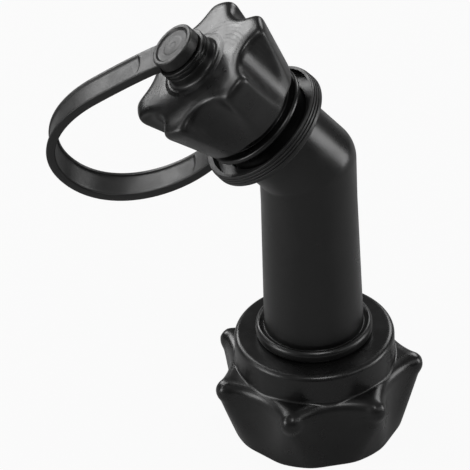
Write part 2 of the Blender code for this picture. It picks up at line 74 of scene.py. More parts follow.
Triple = tuple[float, float, float]
Span = tuple[float, float]
Bulge = Callable[[np.ndarray, float], np.ndarray]
Distance = Callable[[np.ndarray, np.ndarray, np.ndarray], np.ndarray]
Sockets = tuple[bpy.types.NodeSocket, bpy.types.NodeSocket, bpy.types.NodeSocket]


# Meshing in millimetres


def smoothstep(low: float, high: float, value: Any) -> Any:
    """A smooth ramp from 0 at low to 1 at high."""
    share = np.clip((np.asarray(value, float) - low) / (high - low), 0.0, 1.0)
    return share * share * (3.0 - 2.0 * share)


def smooth_max(first: np.ndarray, second: np.ndarray, reach: float) -> np.ndarray:
    """The larger of two distances, rounded over a reach where they are nearly equal.

    Args:
        first: signed distances to one surface.
        second: signed distances to another surface.
        reach: how far from the meeting edge the rounding starts, in millimetres.

    Returns:
        The signed distances to the shape inside both surfaces, with a rounded edge.
    """
    overlap = np.maximum(reach - np.abs(first - second), 0.0) / reach
    return np.maximum(first, second) + overlap * overlap * reach / 4.0


def profile(corners: Sequence[Triple], longest: float = 1.2, arc_deg: float = 9.0) -> np.ndarray:
    """Turns (radius, height, fillet) corners into a finely stepped path.

    Args:
        corners: the profile's corners in order.
        longest: the longest straight step, in millimetres.
        arc_deg: the largest turn of one step in a fillet.

    Returns:
        An array of (radius, height) points.
    """
    path: list[Vector] = []
    for index, (x, z, fillet) in enumerate(corners):
        here = Vector((x, z))
        if fillet == 0 or index in (0, len(corners) - 1):
            path.append(here)
            continue
        back = (Vector(corners[index - 1][:2]) - here).normalized()
        ahead = (Vector(corners[index + 1][:2]) - here).normalized()
        turn = math.pi - back.angle(ahead)
        start = here + back * fillet * math.tan(turn / 2)
        centre = here + (back + ahead).normalized() * fillet / math.cos(turn / 2)
        side = 1 if back.x * ahead.y - back.y * ahead.x < 0 else -1
        steps = max(2, math.ceil(math.degrees(turn) / arc_deg))
        arm = start - centre
        for step in range(steps + 1):
            angle = side * turn * step / steps
            cos, sin = math.cos(angle), math.sin(angle)
            path.append(centre + Vector((arm.x * cos - arm.y * sin, arm.x * sin + arm.y * cos)))
    fine = [path[0]]
    for point in path[1:]:
        count = max(1, math.ceil((point - fine[-1]).length / longest))
        start = fine[-1]
        fine += [start.lerp(point, step / count) for step in range(1, count + 1)]
    return np.array([(point.x, point.y) for point in fine])


def turned(path: np.ndarray, angles: np.ndarray, bulge: Bulge | None = None) -> np.ndarray:
    """Rings of a turned form.

    Args:
        path: (radius, height) points.
        angles: the angles of each ring's points.
        bulge: gives what is added to the radius at (angles, height), if anything is.

    Returns:
        An array of (rings, points, 3).
    """
    rings = np.empty((len(path), len(angles), 3))
    for row, (radius, height) in enumerate(path):
        reach = radius + (bulge(angles, height) if bulge else 0.0)
        rings[row, :, 0] = reach * np.cos(angles)
        rings[row, :, 1] = reach * np.sin(angles)
        rings[row, :, 2] = height
    return rings


def around(count: int, phase_deg: float = 0.0) -> np.ndarray:
    """Evenly spread angles of a full turn."""
    return math.radians(phase_deg) + 2 * math.pi * np.arange(count) / count


def thread(pitch: float, height: float, span: Span, wall: Span, phase: float = 0.0) -> Bulge:
    """A right-hand moulded thread, as what it adds to the radius of the wall it stands on.

    Args:
        pitch: the rise of one turn.
        height: the ridge's height; negative for a ridge that stands inwards.
        span: the heights at which the ridge starts and ends.
        wall: the heights at which the wall that carries it starts and ends.
        phase: the share of a pitch by which the ridge is shifted along the axis.

    Returns:
        A function of (angles, level).
    """
    start, end = span

    def bulge(angles: np.ndarray, level: float) -> np.ndarray:
        """The ridge's height round one ring.

        Args:
            angles: the angles of the ring's points.
            level: the ring's height or station.

        Returns:
            What the ridge adds to the radius at each angle.
        """
        if not wall[0] < level < wall[1]:
            return np.zeros_like(angles)
        turns = (level - start) / pitch - angles / (2 * math.pi) - phase
        off = np.abs(turns - np.round(turns))
        ridge = 1.0 - smoothstep(CREST_SHARE, FOOT_SHARE, off)
        fade = smoothstep(start, start + pitch * RUN_IN, level) * (1 - smoothstep(end - pitch * RUN_IN, end, level))
        return height * ridge * fade

    return bulge


def shell(name: str, rings: np.ndarray, ring_loop: bool) -> bpy.types.Mesh:
    """A closed mesh through rings of equally many points.

    Args:
        name: the mesh's name.
        rings: an array of (rings, points, 3) in millimetres.
        ring_loop: whether the last ring joins the first, as on a hollow piece.

    Returns:
        The mesh in metres, with outward normals.
    """
    count, points = rings.shape[:2]
    mesh = bpy.data.meshes.new(name)
    rows = count if ring_loop else count - 1
    low = np.arange(rows)[:, None] * points + np.arange(points)[None, :]
    low_next = np.arange(rows)[:, None] * points + (np.arange(points) + 1)[None, :] % points
    high_base = ((np.arange(rows) + 1) % count)[:, None] * points
    high = high_base + np.arange(points)[None, :]
    high_next = high_base + (np.arange(points) + 1)[None, :] % points
    faces = np.stack([low, low_next, high_next, high], -1).reshape(-1, 4).tolist()
    if not ring_loop:
        faces.append(list(range(points))[::-1])
        faces.append(list(range((count - 1) * points, count * points)))
    mesh.from_pydata((rings.reshape(-1, 3) * MM).tolist(), [], faces)
    bm = bmesh.new()
    bm.from_mesh(mesh)
    bmesh.ops.remove_doubles(bm, verts=bm.verts, dist=WELD)
    bmesh.ops.dissolve_degenerate(bm, dist=SHORTEST_EDGE, edges=bm.edges)
    bmesh.ops.recalc_face_normals(bm, faces=bm.faces)
    bm.to_mesh(mesh)
    bm.free()
    return mesh


def to_neck(rings: np.ndarray) -> np.ndarray:
    """Carries points from the slanted neck's frame to the row frame.

    Args:
        rings: points in millimetres, their last axis (x, y, station).

    Returns:
        The same points in the row frame, in millimetres.
    """
    bend = math.radians(BEND_DEG)
    cos, sin = math.cos(bend), math.sin(bend)
    turn = np.array([[cos, 0.0, -sin], [0.0, 1.0, 0.0], [sin, 0.0, cos]])
    return rings @ turn.T + np.array([0.0, 0.0, ELBOW_HEIGHT])


def joined(name: str, meshes: Sequence[bpy.types.Mesh]) -> bpy.types.Mesh:
    """One closed mesh of several overlapping closed ones, by exact union.

    Args:
        name: the new mesh's name.
        meshes: the meshes to join.

    Returns:
        The union.
    """
    scene = bpy.context.scene
    base = bpy.data.objects.new(name + "_base", meshes[0])
    scene.collection.objects.link(base)
    others = []
    for number, mesh in enumerate(meshes[1:]):
        other = bpy.data.objects.new(f"{name}_other_{number}", mesh)
        scene.collection.objects.link(other)
        others.append(other)
        union = base.modifiers.new("union", "BOOLEAN")
        union.operation = "UNION"
        union.solver = "EXACT"
        union.object = other
    depsgraph = bpy.context.evaluated_depsgraph_get()
    result = bpy.data.meshes.new_from_object(base.evaluated_get(depsgraph))
    result.name = name
    for spare in [base, *others]:
        bpy.data.objects.remove(spare)
    bm = bmesh.new()
    bm.from_mesh(result)
    bmesh.ops.remove_doubles(bm, verts=bm.verts, dist=WELD)
    bm.to_mesh(result)
    bm.free()
    return result


# Finishes


def linear(code: str) -> tuple[float, float, float, float]:
    """Turns an sRGB colour to linear light.

    Args:
        code: a hex colour such as "#1d1d1e".

    Returns:
        Linear RGBA.
    """
    parts = [int(code[place:place + 2], 16) / 255 for place in (1, 3, 5)]
    light = [part / 12.92 if part <= 0.04045 else ((part + 0.055) / 1.055) ** 2.4 for part in parts]
    return (*light, 1.0)


def per_mm(size: float) -> float:
    """The texture scale at which one cell of a pattern is a size in millimetres."""
    return 1.0 / (size * MM)


def add_node(tree: bpy.types.NodeTree, kind: str, inputs: dict[Any, Any], **settings: Any) -> bpy.types.Node:
    """Adds a shader node with its settings, values and links.

    Args:
        tree: the node tree.
        kind: the node's type.
        inputs: value or output socket for each named or numbered input.
        **settings: the node's own properties.

    Returns:
        The node.
    """
    made = tree.nodes.new(kind)
    for name, value in settings.items():
        setattr(made, name, value)
    for name, value in inputs.items():
        if isinstance(value, bpy.types.NodeSocket):
            tree.links.new(value, made.inputs[name])
        else:
            made.inputs[name].default_value = value
    return made


@dataclass(frozen=True)
class Finish:
    """A finish with one Principled shader whose colour, roughness and bump come from nodes.

    Attributes:
        name: the material's name.
        base: the body colour.
        bloom: the other colour that shows in patches.
        roughness: the mean roughness.
        ior: the index of refraction, about 1.5 for polyethylene and rubber.
        gloss_swing: how far the roughness goes below and above its mean.
    """

    name: str
    base: str
    bloom: str
    roughness: float
    ior: float = 1.5
    gloss_swing: Span = (-0.05, 0.06)

    def material(self) -> bpy.types.Material:
        """Makes the material and has the finish add its own nodes.

        Returns:
            The finished material.
        """
        material = bpy.data.materials.new(self.name)
        material.use_nodes = True
        tree = material.node_tree
        shader = tree.nodes["Principled BSDF"]
        shader.inputs["IOR"].default_value = self.ior
        coords = add_node(tree, "ShaderNodeTexCoord", {}).outputs["Object"]
        mix, rough, normal = self.surface(tree, coords)
        colour = add_node(tree, "ShaderNodeMix", {
            "Factor": mix, "A": linear(self.base), "B": linear(self.bloom),
        }, data_type="RGBA")
        tree.links.new(colour.outputs["Result"], shader.inputs["Base Color"])
        tree.links.new(rough, shader.inputs["Roughness"])
        tree.links.new(normal, shader.inputs["Normal"])
        return material

    def surface(self, tree: bpy.types.NodeTree, coords: bpy.types.NodeSocket) -> Sockets:
        """The finish's own patterns.

        Args:
            tree: the material's node tree.
            coords: the object's coordinates in metres.

        Returns:
            Sockets for the share of bloom colour, the roughness and the normal.
        """
        raise NotImplementedError


@dataclass(frozen=True)
class MouldedPolyethylene(Finish):
    """Carbon-black polyethylene, injection moulded in a spark-eroded steel tool.

    The eye gets a waxy, soft gloss that is a little uneven in patches, a very fine tool texture, and a few
    pale hairlines where parts have rubbed in the box.

    Attributes:
        mottle: size of the gloss patches, in millimetres.
        grain: size of the tool's texture, in millimetres. The real one is 0.05; it is drawn coarser to show.
        grain_depth: depth of that texture, in millimetres.
        wave_depth: depth of the faint sink marks under the gloss patches, in millimetres.
        mark_depth: depth of the flow marks, in millimetres.
        patch_span: the noise values between which a patch fades in.
        patch_bloom: how strongly the patches bloom, from 0 to 1.
        gloss_span: the noise values between which the gloss swings from one to the other.
        hairlines: how strongly the hairline scratches show, from 0 to 1.
        hairline_sizes: the spacings of the two sets of hairlines, in millimetres.
        hairline_width: a hairline's width, as a share of its spacing.
        hairline_squeeze: the pattern's scale along a hairline, as a share of that across it.
        hairline_turns: the directions of the two sets, as XYZ radians.
        hairline_patch: size of the patches in which they are kept, as a share of their spacing.
        hairline_fade: the noise values between which such a patch fades in.
        flow: how strongly the flow marks show, from 0 to 1.
        flow_pitch: spacing of the flow marks, in millimetres. The real one is 0.3; it is drawn coarser to show.
        flow_crest: the shares of a ring's height between which a mark fades in.
        flow_patch: size of the patches in which they are kept, in millimetres.
        flow_fade: the noise values between which such a patch fades in.
        flow_dulling: what a full flow mark adds to the roughness.
        flow_turn: the frame that the flow marks run around, as XYZ degrees.
        flow_centre: a point on the flow marks' axis, in millimetres.
    """

    ior: float = 1.51
    mottle: float = 11.0
    grain: float = 0.4
    grain_depth: float = 0.010
    wave_depth: float = 0.12
    mark_depth: float = 0.02
    patch_span: Span = (0.42, 0.72)
    patch_bloom: float = 0.45
    gloss_span: Span = (0.3, 0.7)
    hairlines: float = 0.3
    hairline_sizes: Span = (9.0, 14.0)
    hairline_width: float = 0.012
    hairline_squeeze: float = 0.22
    hairline_turns: tuple[Triple, Triple] = ((0.4, 0.9, 0.3), (1.9, 0.2, 1.1))
    hairline_patch: float = 0.7
    hairline_fade: Span = (0.56, 0.66)
    flow: float = 0.0
    flow_pitch: float = 1.4
    flow_crest: Span = (0.55, 0.95)
    flow_patch: float = 8.0
    flow_fade: Span = (0.45, 0.65)
    flow_dulling: float = 0.35
    flow_turn: Triple = (0.0, 0.0, 0.0)
    flow_centre: Triple = (0.0, 0.0, 0.0)

    def surface(self, tree: bpy.types.NodeTree, coords: bpy.types.NodeSocket) -> Sockets:
        """Patchy gloss, hairlines, flow marks and tool texture of the moulded surface.

        Args:
            tree: the material's node tree.
            coords: the object's coordinates in metres.

        Returns:
            Sockets for the share of bloom colour, the roughness and the normal.
        """
        patches = add_node(tree, "ShaderNodeTexNoise", {
            "Vector": coords, "Scale": per_mm(self.mottle), "Detail": 4.0, "Roughness": 0.6,
        }).outputs["Fac"]
        grain = add_node(tree, "ShaderNodeTexNoise", {
            "Vector": coords, "Scale": per_mm(self.grain), "Detail": 2.0, "Roughness": 0.5,
        }).outputs["Fac"]
        lines = self.scratch_lines(tree, coords)
        marks = self.flow_marks(tree, coords)
        patch_share = add_node(tree, "ShaderNodeMapRange", {
            "Value": patches, "From Min": self.patch_span[0], "From Max": self.patch_span[1],
            "To Max": self.patch_bloom,
        }, interpolation_type="SMOOTHSTEP").outputs["Result"]
        bloom = add_node(tree, "ShaderNodeMath", {
            0: patch_share, 1: lines,
        }, operation="ADD", use_clamp=True).outputs["Value"]
        bloom = add_node(tree, "ShaderNodeMath", {
            0: bloom, 1: marks,
        }, operation="ADD", use_clamp=True).outputs["Value"]
        gloss = add_node(tree, "ShaderNodeMapRange", {
            "Value": patches, "From Min": self.gloss_span[0], "From Max": self.gloss_span[1],
            "To Min": self.roughness + self.gloss_swing[0], "To Max": self.roughness + self.gloss_swing[1],
        }, interpolation_type="SMOOTHSTEP").outputs["Result"]
        rough = add_node(tree, "ShaderNodeMath", {
            0: marks, 1: self.flow_dulling, 2: gloss,
        }, operation="MULTIPLY_ADD").outputs["Value"]
        normal = add_node(tree, "ShaderNodeBump", {
            "Strength": 0.6, "Distance": self.grain_depth * MM, "Height": grain,
        }).outputs["Normal"]
        for depth, relief in ((self.wave_depth, patches), (self.mark_depth, marks)):
            normal = add_node(tree, "ShaderNodeBump", {
                "Strength": 0.5, "Distance": depth * MM, "Height": relief, "Normal": normal,
            }).outputs["Normal"]
        return bloom, rough, normal

    def scratch_lines(self, tree: bpy.types.NodeTree, coords: bpy.types.NodeSocket) -> bpy.types.NodeSocket:
        """Two sets of hairlines: the thin walls of stretched cells, kept only in patches.

        Args:
            tree: the material's node tree.
            coords: the object's coordinates in metres.

        Returns:
            A socket for how strongly a hairline shows.
        """
        sets = []
        for turn, size in zip(self.hairline_turns, self.hairline_sizes):
            stretched = add_node(tree, "ShaderNodeMapping", {
                "Vector": coords, "Rotation": turn, "Scale": (1.0, self.hairline_squeeze, 1.0),
            }).outputs["Vector"]
            walls = add_node(tree, "ShaderNodeTexVoronoi", {
                "Vector": stretched, "Scale": per_mm(size), "Randomness": 1.0,
            }, feature="DISTANCE_TO_EDGE").outputs["Distance"]
            line = add_node(tree, "ShaderNodeMapRange", {
                "Value": walls, "From Min": 0.0, "From Max": self.hairline_width,
                "To Min": self.hairlines, "To Max": 0.0,
            }, interpolation_type="SMOOTHSTEP").outputs["Result"]
            patch = add_node(tree, "ShaderNodeTexNoise", {
                "Vector": coords, "Scale": per_mm(size * self.hairline_patch), "Detail": 1.0,
            }).outputs["Fac"]
            kept = add_node(tree, "ShaderNodeMapRange", {
                "Value": patch, "From Min": self.hairline_fade[0], "From Max": self.hairline_fade[1],
            }, interpolation_type="SMOOTHSTEP").outputs["Result"]
            sets.append(add_node(tree, "ShaderNodeMath", {0: line, 1: kept}, operation="MULTIPLY").outputs["Value"])
        return add_node(tree, "ShaderNodeMath", {0: sets[0], 1: sets[1]}, operation="ADD").outputs["Value"]

    def flow_marks(self, tree: bpy.types.NodeTree, coords: bpy.types.NodeSocket) -> bpy.types.NodeSocket:
        """Fine swirls that the melt leaves around a gate, kept only in patches.

        Args:
            tree: the material's node tree.
            coords: the object's coordinates in metres.

        Returns:
            A socket for how strongly a mark shows.
        """
        moved = add_node(tree, "ShaderNodeVectorMath", {
            0: coords, 1: tuple(part * MM for part in self.flow_centre),
        }, operation="SUBTRACT").outputs["Vector"]
        turned_coords = add_node(tree, "ShaderNodeMapping", {
            "Vector": moved, "Rotation": tuple(math.radians(part) for part in self.flow_turn),
        }).outputs["Vector"]
        # At scale 1 the rings of a wave texture are 2 pi / 20 apart.
        rings = add_node(tree, "ShaderNodeTexWave", {
            "Vector": turned_coords, "Scale": per_mm(self.flow_pitch) * 2 * math.pi / 20, "Distortion": 3.0,
            "Detail": 4.0, "Detail Scale": 1.6, "Detail Roughness": 0.65,
        }, wave_type="RINGS", rings_direction="Z").outputs["Fac"]
        mark = add_node(tree, "ShaderNodeMapRange", {
            "Value": rings, "From Min": self.flow_crest[0], "From Max": self.flow_crest[1], "To Max": self.flow,
        }, interpolation_type="SMOOTHSTEP").outputs["Result"]
        patch = add_node(tree, "ShaderNodeTexNoise", {
            "Vector": coords, "Scale": per_mm(self.flow_patch), "Detail": 3.0,
        }).outputs["Fac"]
        kept = add_node(tree, "ShaderNodeMapRange", {
            "Value": patch, "From Min": self.flow_fade[0], "From Max": self.flow_fade[1],
        }, interpolation_type="SMOOTHSTEP").outputs["Result"]
        return add_node(tree, "ShaderNodeMath", {0: mark, 1: kept}, operation="MULTIPLY").outputs["Value"]


@dataclass(frozen=True)
class NitrileRubber(Finish):
    """Nitrile rubber punched from calendered sheet: matt, with a faint fabric-side grain and talc dust.

    Attributes:
        dust: size of the patches of talc, in millimetres.
        dust_fade: the noise values between which the talc fades in.
        dust_bloom: how strongly it shows, from 0 to 1.
        grain: size of the fabric's imprint, in millimetres.
        grain_depth: its depth, in millimetres.
    """

    gloss_swing: Span = (-0.05, 0.08)
    dust: float = 4.0
    dust_fade: Span = (0.5, 0.75)
    dust_bloom: float = 0.5
    grain: float = 0.5
    grain_depth: float = 0.03

    def surface(self, tree: bpy.types.NodeTree, coords: bpy.types.NodeSocket) -> Sockets:
        """Talc dust and fabric grain of the rubber.

        Args:
            tree: the material's node tree.
            coords: the object's coordinates in metres.

        Returns:
            Sockets for the share of bloom colour, the roughness and the normal.
        """
        dust = add_node(tree, "ShaderNodeTexNoise", {
            "Vector": coords, "Scale": per_mm(self.dust), "Detail": 5.0,
        }).outputs["Fac"]
        grain = add_node(tree, "ShaderNodeTexNoise", {
            "Vector": coords, "Scale": per_mm(self.grain), "Detail": 2.0,
        }).outputs["Fac"]
        dusty = add_node(tree, "ShaderNodeMapRange", {
            "Value": dust, "From Min": self.dust_fade[0], "From Max": self.dust_fade[1],
            "To Max": self.dust_bloom,
        }, interpolation_type="SMOOTHSTEP").outputs["Result"]
        rough = add_node(tree, "ShaderNodeMapRange", {
            "Value": dust, "From Min": 0.4, "From Max": 0.7,
            "To Min": self.roughness + self.gloss_swing[0], "To Max": self.roughness + self.gloss_swing[1],
        }, interpolation_type="SMOOTHSTEP").outputs["Result"]
        bump = add_node(tree, "ShaderNodeBump", {
            "Strength": 0.7, "Distance": self.grain_depth * MM, "Height": grain,
        })
        return dusty, rough, bump.outputs["Normal"]


@dataclass(frozen=True)
class FoamLiner(Finish):
    """Expanded polyethylene liner: white closed cells under a thin skin, which read as a fine pebbling.

    Attributes:
        cell: size of a cell, in millimetres.
        cell_depth: depth of the pebbling, in millimetres.
    """

    gloss_swing: Span = (-0.04, 0.06)
    cell: float = 0.7
    cell_depth: float = 0.06

    def surface(self, tree: bpy.types.NodeTree, coords: bpy.types.NodeSocket) -> Sockets:
        """Pebbling of the foam's cells.

        Args:
            tree: the material's node tree.
            coords: the object's coordinates in metres.

        Returns:
            Sockets for the share of bloom colour, the roughness and the normal.
        """
        cells = add_node(tree, "ShaderNodeTexVoronoi", {
            "Vector": coords, "Scale": per_mm(self.cell),
        }).outputs["Distance"]
        walls = add_node(tree, "ShaderNodeMapRange", {
            "Value": cells, "From Min": 0.2, "From Max": 0.7,
        }, interpolation_type="SMOOTHSTEP").outputs["Result"]
        rough = add_node(tree, "ShaderNodeMapRange", {
            "Value": cells, "From Min": 0.1, "From Max": 0.8,
            "To Min": self.roughness + self.gloss_swing[0], "To Max": self.roughness + self.gloss_swing[1],
        }, interpolation_type="SMOOTHSTEP").outputs["Result"]
        bump = add_node(tree, "ShaderNodeBump", {
            "Strength": 0.5, "Distance": self.cell_depth * MM, "Height": cells,
        })
        return walls, rough, bump.outputs["Normal"]


# Sub-assemblies


class Piece:
    """One separate piece of the spout, which stands for one CAD node.

    Attributes:
        node: the CAD node.
        slot: the record's material slot.
        body: the CAD body that it rides on.
        finish: what it is made of, and how.
    """

    node: ClassVar[str]
    slot: ClassVar[str]
    body: ClassVar[str]
    finish: Finish

    def mesh(self) -> bpy.types.Mesh:
        """The piece's closed mesh, in metres."""
        raise NotImplementedError

    def attach(self, piece: bpy.types.Object) -> None:
        """Makes the piece move with its body."""
        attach(piece, self.body)

    def build(self) -> bpy.types.Object:
        """Meshes, shades and dresses the piece, and puts it in the place of its CAD node.

        Returns:
            The new object.
        """
        mesh = self.mesh()
        mesh.shade_smooth()
        mesh.set_sharp_from_angle(angle=math.radians(SHARP_DEG))
        mesh.materials.clear()
        mesh.materials.append(self.finish.material())
        piece = bpy.data.objects.new(mesh.name, mesh)
        bpy.context.scene.collection.objects.link(piece)
        self.attach(piece)
        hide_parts(self.node)
        return piece


@dataclass
class SpoutTube(Piece):
    """The bent pouring tube: flange, bead, taper, mitred elbow, shoulder, neck bead and threaded mouth.

    Attributes:
        base_radius: outer radius at the flange; it tapers to top_radius at taper_end.
        back_fillet: how roundly the mitre turns at the elbow's back; side_fillet is the same at its sides.
        bead_radius: outer radius of the bead over the nut, with bead_groove under its top edge.
        shoulder_station: where the shoulder that the strap's collar rests on starts.
        neck_bead_station: where the bead that holds the collar on starts.
        thread_span: the stations at which the mouth's thread starts and ends.
        thread_wall: the stations of the bare core that carries it.
        bore_lap: how far down from the mouth the bore's finer rings reach.
    """

    node: ClassVar[str] = "spout_tube"
    slot: ClassVar[str] = "tube_plastic"
    body: ClassVar[str] = "spout"
    base_radius: float = 16.8
    top_radius: float = 15.7
    taper_end: float = 90.0
    bore_base_radius: float = 14.2
    bore_top_radius: float = 13.0
    back_fillet: float = 12.0
    side_fillet: float = 2.0
    elbow_steps: int = 18
    flange_radius: float = 23.7
    flange_bottom: float = 30.35
    flange_top: float = 33.35
    spigot_radius: float = 16.2
    spigot_bottom: float = 27.55
    bead_radius: float = 19.6
    bead_bottom: float = 36.95
    bead_height: float = 4.2
    bead_groove: float = 0.9
    shoulder_station: float = 17.0
    shoulder_front: float = 18.6
    shoulder_radius: float = 19.0
    neck_bead_station: float = 25.7
    neck_bead_front: float = 27.7
    neck_bead_radius: float = 18.3
    neck_core_radius: float = 15.0
    neck_lead: float = 2.5
    mouth_station: float = 50.1
    bore_lap: Span = (1.0, 3.0)
    thread_pitch: float = 6.0
    thread_height: float = 1.3
    thread_span: Span = (31.0, 48.5)
    thread_wall: Span = (28.7, 49.2)
    segments: int = 216
    finish: Finish = MouldedPolyethylene(
        "tube_moulded_polyethylene", "#101010", "#1c1c1c", 0.31, mottle=16.0, hairlines=0.15)

    def elbow_ring(self, angles: np.ndarray, radius: float, back: float, share: float) -> np.ndarray:
        """One ring of the mitred bend, rounded at its back and softly creased at its sides.

        Args:
            angles: the angles of the ring's points.
            radius: the tube's radius.
            back: the fillet at the elbow's back.
            share: how far round the bend the ring is, from 0 to 1.

        Returns:
            An array of (points, 3).
        """
        bend = math.radians(BEND_DEG)
        x, y = radius * np.cos(angles), radius * np.sin(angles)
        backness = np.maximum(0.0, np.cos(angles)) ** 2
        fillet = self.side_fillet + (back - self.side_fillet) * backness
        start = ELBOW_HEIGHT + (x - fillet) * math.tan(bend / 2)
        turn = bend * share
        return np.stack([x - fillet * (1 - math.cos(turn)), y, start + fillet * math.sin(turn)], -1)

    def bent(self, base: np.ndarray, neck: np.ndarray, back: float, bulge: Bulge | None = None) -> np.ndarray:
        """Rings up the straight tube, round the elbow and out along the neck.

        Args:
            base: (radius, height) points up the straight tube.
            neck: (radius, station) points along the neck.
            back: the fillet at the elbow's back.
            bulge: what is added to the neck's radius, if anything is.

        Returns:
            An array of (rings, points, 3).
        """
        angles = around(self.segments)
        shares = [step / self.elbow_steps for step in range(self.elbow_steps + 1)]
        elbow = [self.elbow_ring(angles, base[-1][0], back, share) for share in shares]
        return np.concatenate([
            turned(base, angles), np.array(elbow), to_neck(turned(neck, angles, bulge)),
        ])

    def outer_base(self) -> np.ndarray:
        """The outside from the spigot over the flange, the bead and the taper.

        Returns:
            (radius, height) points up to the elbow.
        """
        taper = (self.base_radius - self.top_radius) / (self.taper_end - self.flange_top)
        foot = self.base_radius - taper * (self.bead_bottom - self.flange_top)
        bead_top = self.bead_bottom + self.bead_height
        groove = bead_top - self.bead_groove
        at_groove = foot - taper * (groove - self.bead_bottom)
        return profile([
            (self.spigot_radius, self.spigot_bottom, 0),
            (self.spigot_radius, self.flange_bottom, 0.2),
            (self.flange_radius, self.flange_bottom, 0.4),
            (self.flange_radius, self.flange_top, 0.4),
            (self.base_radius, self.flange_top, 0.3),
            (foot, self.bead_bottom, 0),
            (self.bead_radius, self.bead_bottom, 1.3),
            (self.bead_radius, bead_top - 0.7, 1.7),
            ((self.bead_radius + foot) / 2 + 0.2, bead_top + 0.1, 0.5),
            (at_groove + 0.45, groove + 0.1, 0.3),
            (at_groove + 0.05, groove - 0.1, 0.2),
            (at_groove, groove + 0.6, 0.3),
            (self.top_radius, self.taper_end, 0),
        ], longest=1.5)

    def outer_neck(self) -> np.ndarray:
        """The outside from the elbow over the shoulder, the neck bead and the core, and round the mouth.

        Returns:
            (radius, station) points to a little way into the bore.
        """
        return profile([
            (self.top_radius, self.shoulder_station - self.neck_lead, 0),
            (self.top_radius, self.shoulder_station, 0.6),
            (self.shoulder_radius, self.shoulder_station, 0.5),
            (self.shoulder_radius, self.shoulder_front, 0.5),
            (self.top_radius, self.shoulder_front, 0.2),
            (self.top_radius, self.neck_bead_station, 0.3),
            (self.neck_bead_radius, self.neck_bead_station, 0.9),
            (self.neck_bead_radius, self.neck_bead_front, 0.9),
            (self.neck_core_radius, self.neck_bead_front, 0.4),
            (self.neck_core_radius, self.mouth_station, 0.8),
            (self.bore_top_radius, self.mouth_station, 0.3),
            (self.bore_top_radius, self.mouth_station - self.bore_lap[0], 0),
        ], longest=0.32)

    def mesh(self) -> bpy.types.Mesh:
        """The tube, outside and bore.

        Returns:
            A closed mesh.
        """
        ridge = thread(self.thread_pitch, self.thread_height, self.thread_span, self.thread_wall)
        outer = self.bent(self.outer_base(), self.outer_neck(), self.back_fillet, ridge)
        bore_base = profile([
            (self.bore_base_radius, self.spigot_bottom, 0),
            (self.bore_top_radius, self.taper_end, 0),
        ], longest=4.0)
        bore_neck = profile([
            (self.bore_top_radius, self.shoulder_station, 0),
            (self.bore_top_radius, self.mouth_station - self.bore_lap[1], 0),
        ], longest=4.0)
        wall = self.top_radius - self.bore_top_radius
        inner = self.bent(bore_base, bore_neck, self.back_fillet - wall)
        return shell("spout_tube_body", np.concatenate([outer, inner[::-1]]), ring_loop=True)


@dataclass(frozen=True)
class RayFan:
    """The rays along which a lobed wall is found: level ones from the axis, then a fan from a point inside.

    Attributes:
        first: height of the lowest level ray.
        step: rise from one level ray to the next.
        centre: (radius, height) of the point that the fan starts from.
        sweep_deg: how far the fan turns up from level.
        count: how many rays the fan has.
        level_span: (inner, outer) lengths between which the wall crosses a level ray.
        fan_span: the same on a ray of the fan.
    """

    first: float
    step: float
    centre: Span
    sweep_deg: float
    count: int
    level_span: Span
    fan_span: Span

    def rings(self, outside: Distance, angles: np.ndarray, offset: np.ndarray) -> np.ndarray:
        """Rings of points where the rays leave a body, found by halving.

        Args:
            outside: signed distance from the body at (along, across, height), in one hollow's own axes.
            angles: the angles of each ring's points.
            offset: those angles, each counted from the middle of its own hollow.

        Returns:
            An array of (rays, points, 3).
        """
        levels = np.arange(self.first, self.centre[1], self.step)
        turns = np.radians(np.linspace(0.0, self.sweep_deg, self.count))
        rays = [(0.0, level, 1.0, 0.0) for level in levels]
        rays += [(*self.centre, math.cos(turn), math.sin(turn)) for turn in turns]
        from_radius, from_height, outward, upward = (column[:, None] for column in np.array(rays).T)
        spans = np.array([self.level_span] * len(levels) + [self.fan_span] * self.count)
        low, high = (np.repeat(spans[:, end, None], len(angles), 1) for end in (0, 1))
        for _ in range(HALVINGS):
            middle = (low + high) / 2
            radius, height = from_radius + middle * outward, from_height + middle * upward
            out = outside(radius * np.cos(offset), radius * np.sin(offset), height) > 0
            high = np.where(out, middle, high)
            low = np.where(out, low, middle)
        radius, height = from_radius + low * outward, from_height + low * upward
        return np.stack([radius * np.cos(angles), radius * np.sin(angles), height], -1)


@dataclass
class LuggedBody(Piece):
    """A turned body with evenly spaced lugs and a hollow between each two.

    Attributes:
        lugs: how many lugs there are.
        phase_deg: the direction of one lug's tip.
        segments_per_lug: points of each ring from one lug's tip to the next.
        fan: the rays that find its wall.
    """

    lugs: int
    phase_deg: float
    segments_per_lug: int
    fan: RayFan

    def ring_angles(self) -> np.ndarray:
        """The angles of each ring's points."""
        return around(self.lugs * self.segments_per_lug, self.phase_deg)

    def outside(self, along: np.ndarray, across: np.ndarray, height: np.ndarray) -> np.ndarray:
        """Signed distance from the body, in one hollow's own axes.

        Args:
            along: distance from the axis towards the middle of the hollow.
            across: distance sideways from that.
            height: height, or station on the neck.

        Returns:
            Distances, positive outside the body.
        """
        raise NotImplementedError

    def wall(self) -> np.ndarray:
        """Rings of points up the wall and over the lugs.

        Returns:
            An array of (rings, points, 3).
        """
        angles = self.ring_angles()
        pitch = 2 * math.pi / self.lugs
        offset = np.mod(angles - math.radians(self.phase_deg), pitch) - pitch / 2
        return self.fan.rings(self.outside, angles, offset)


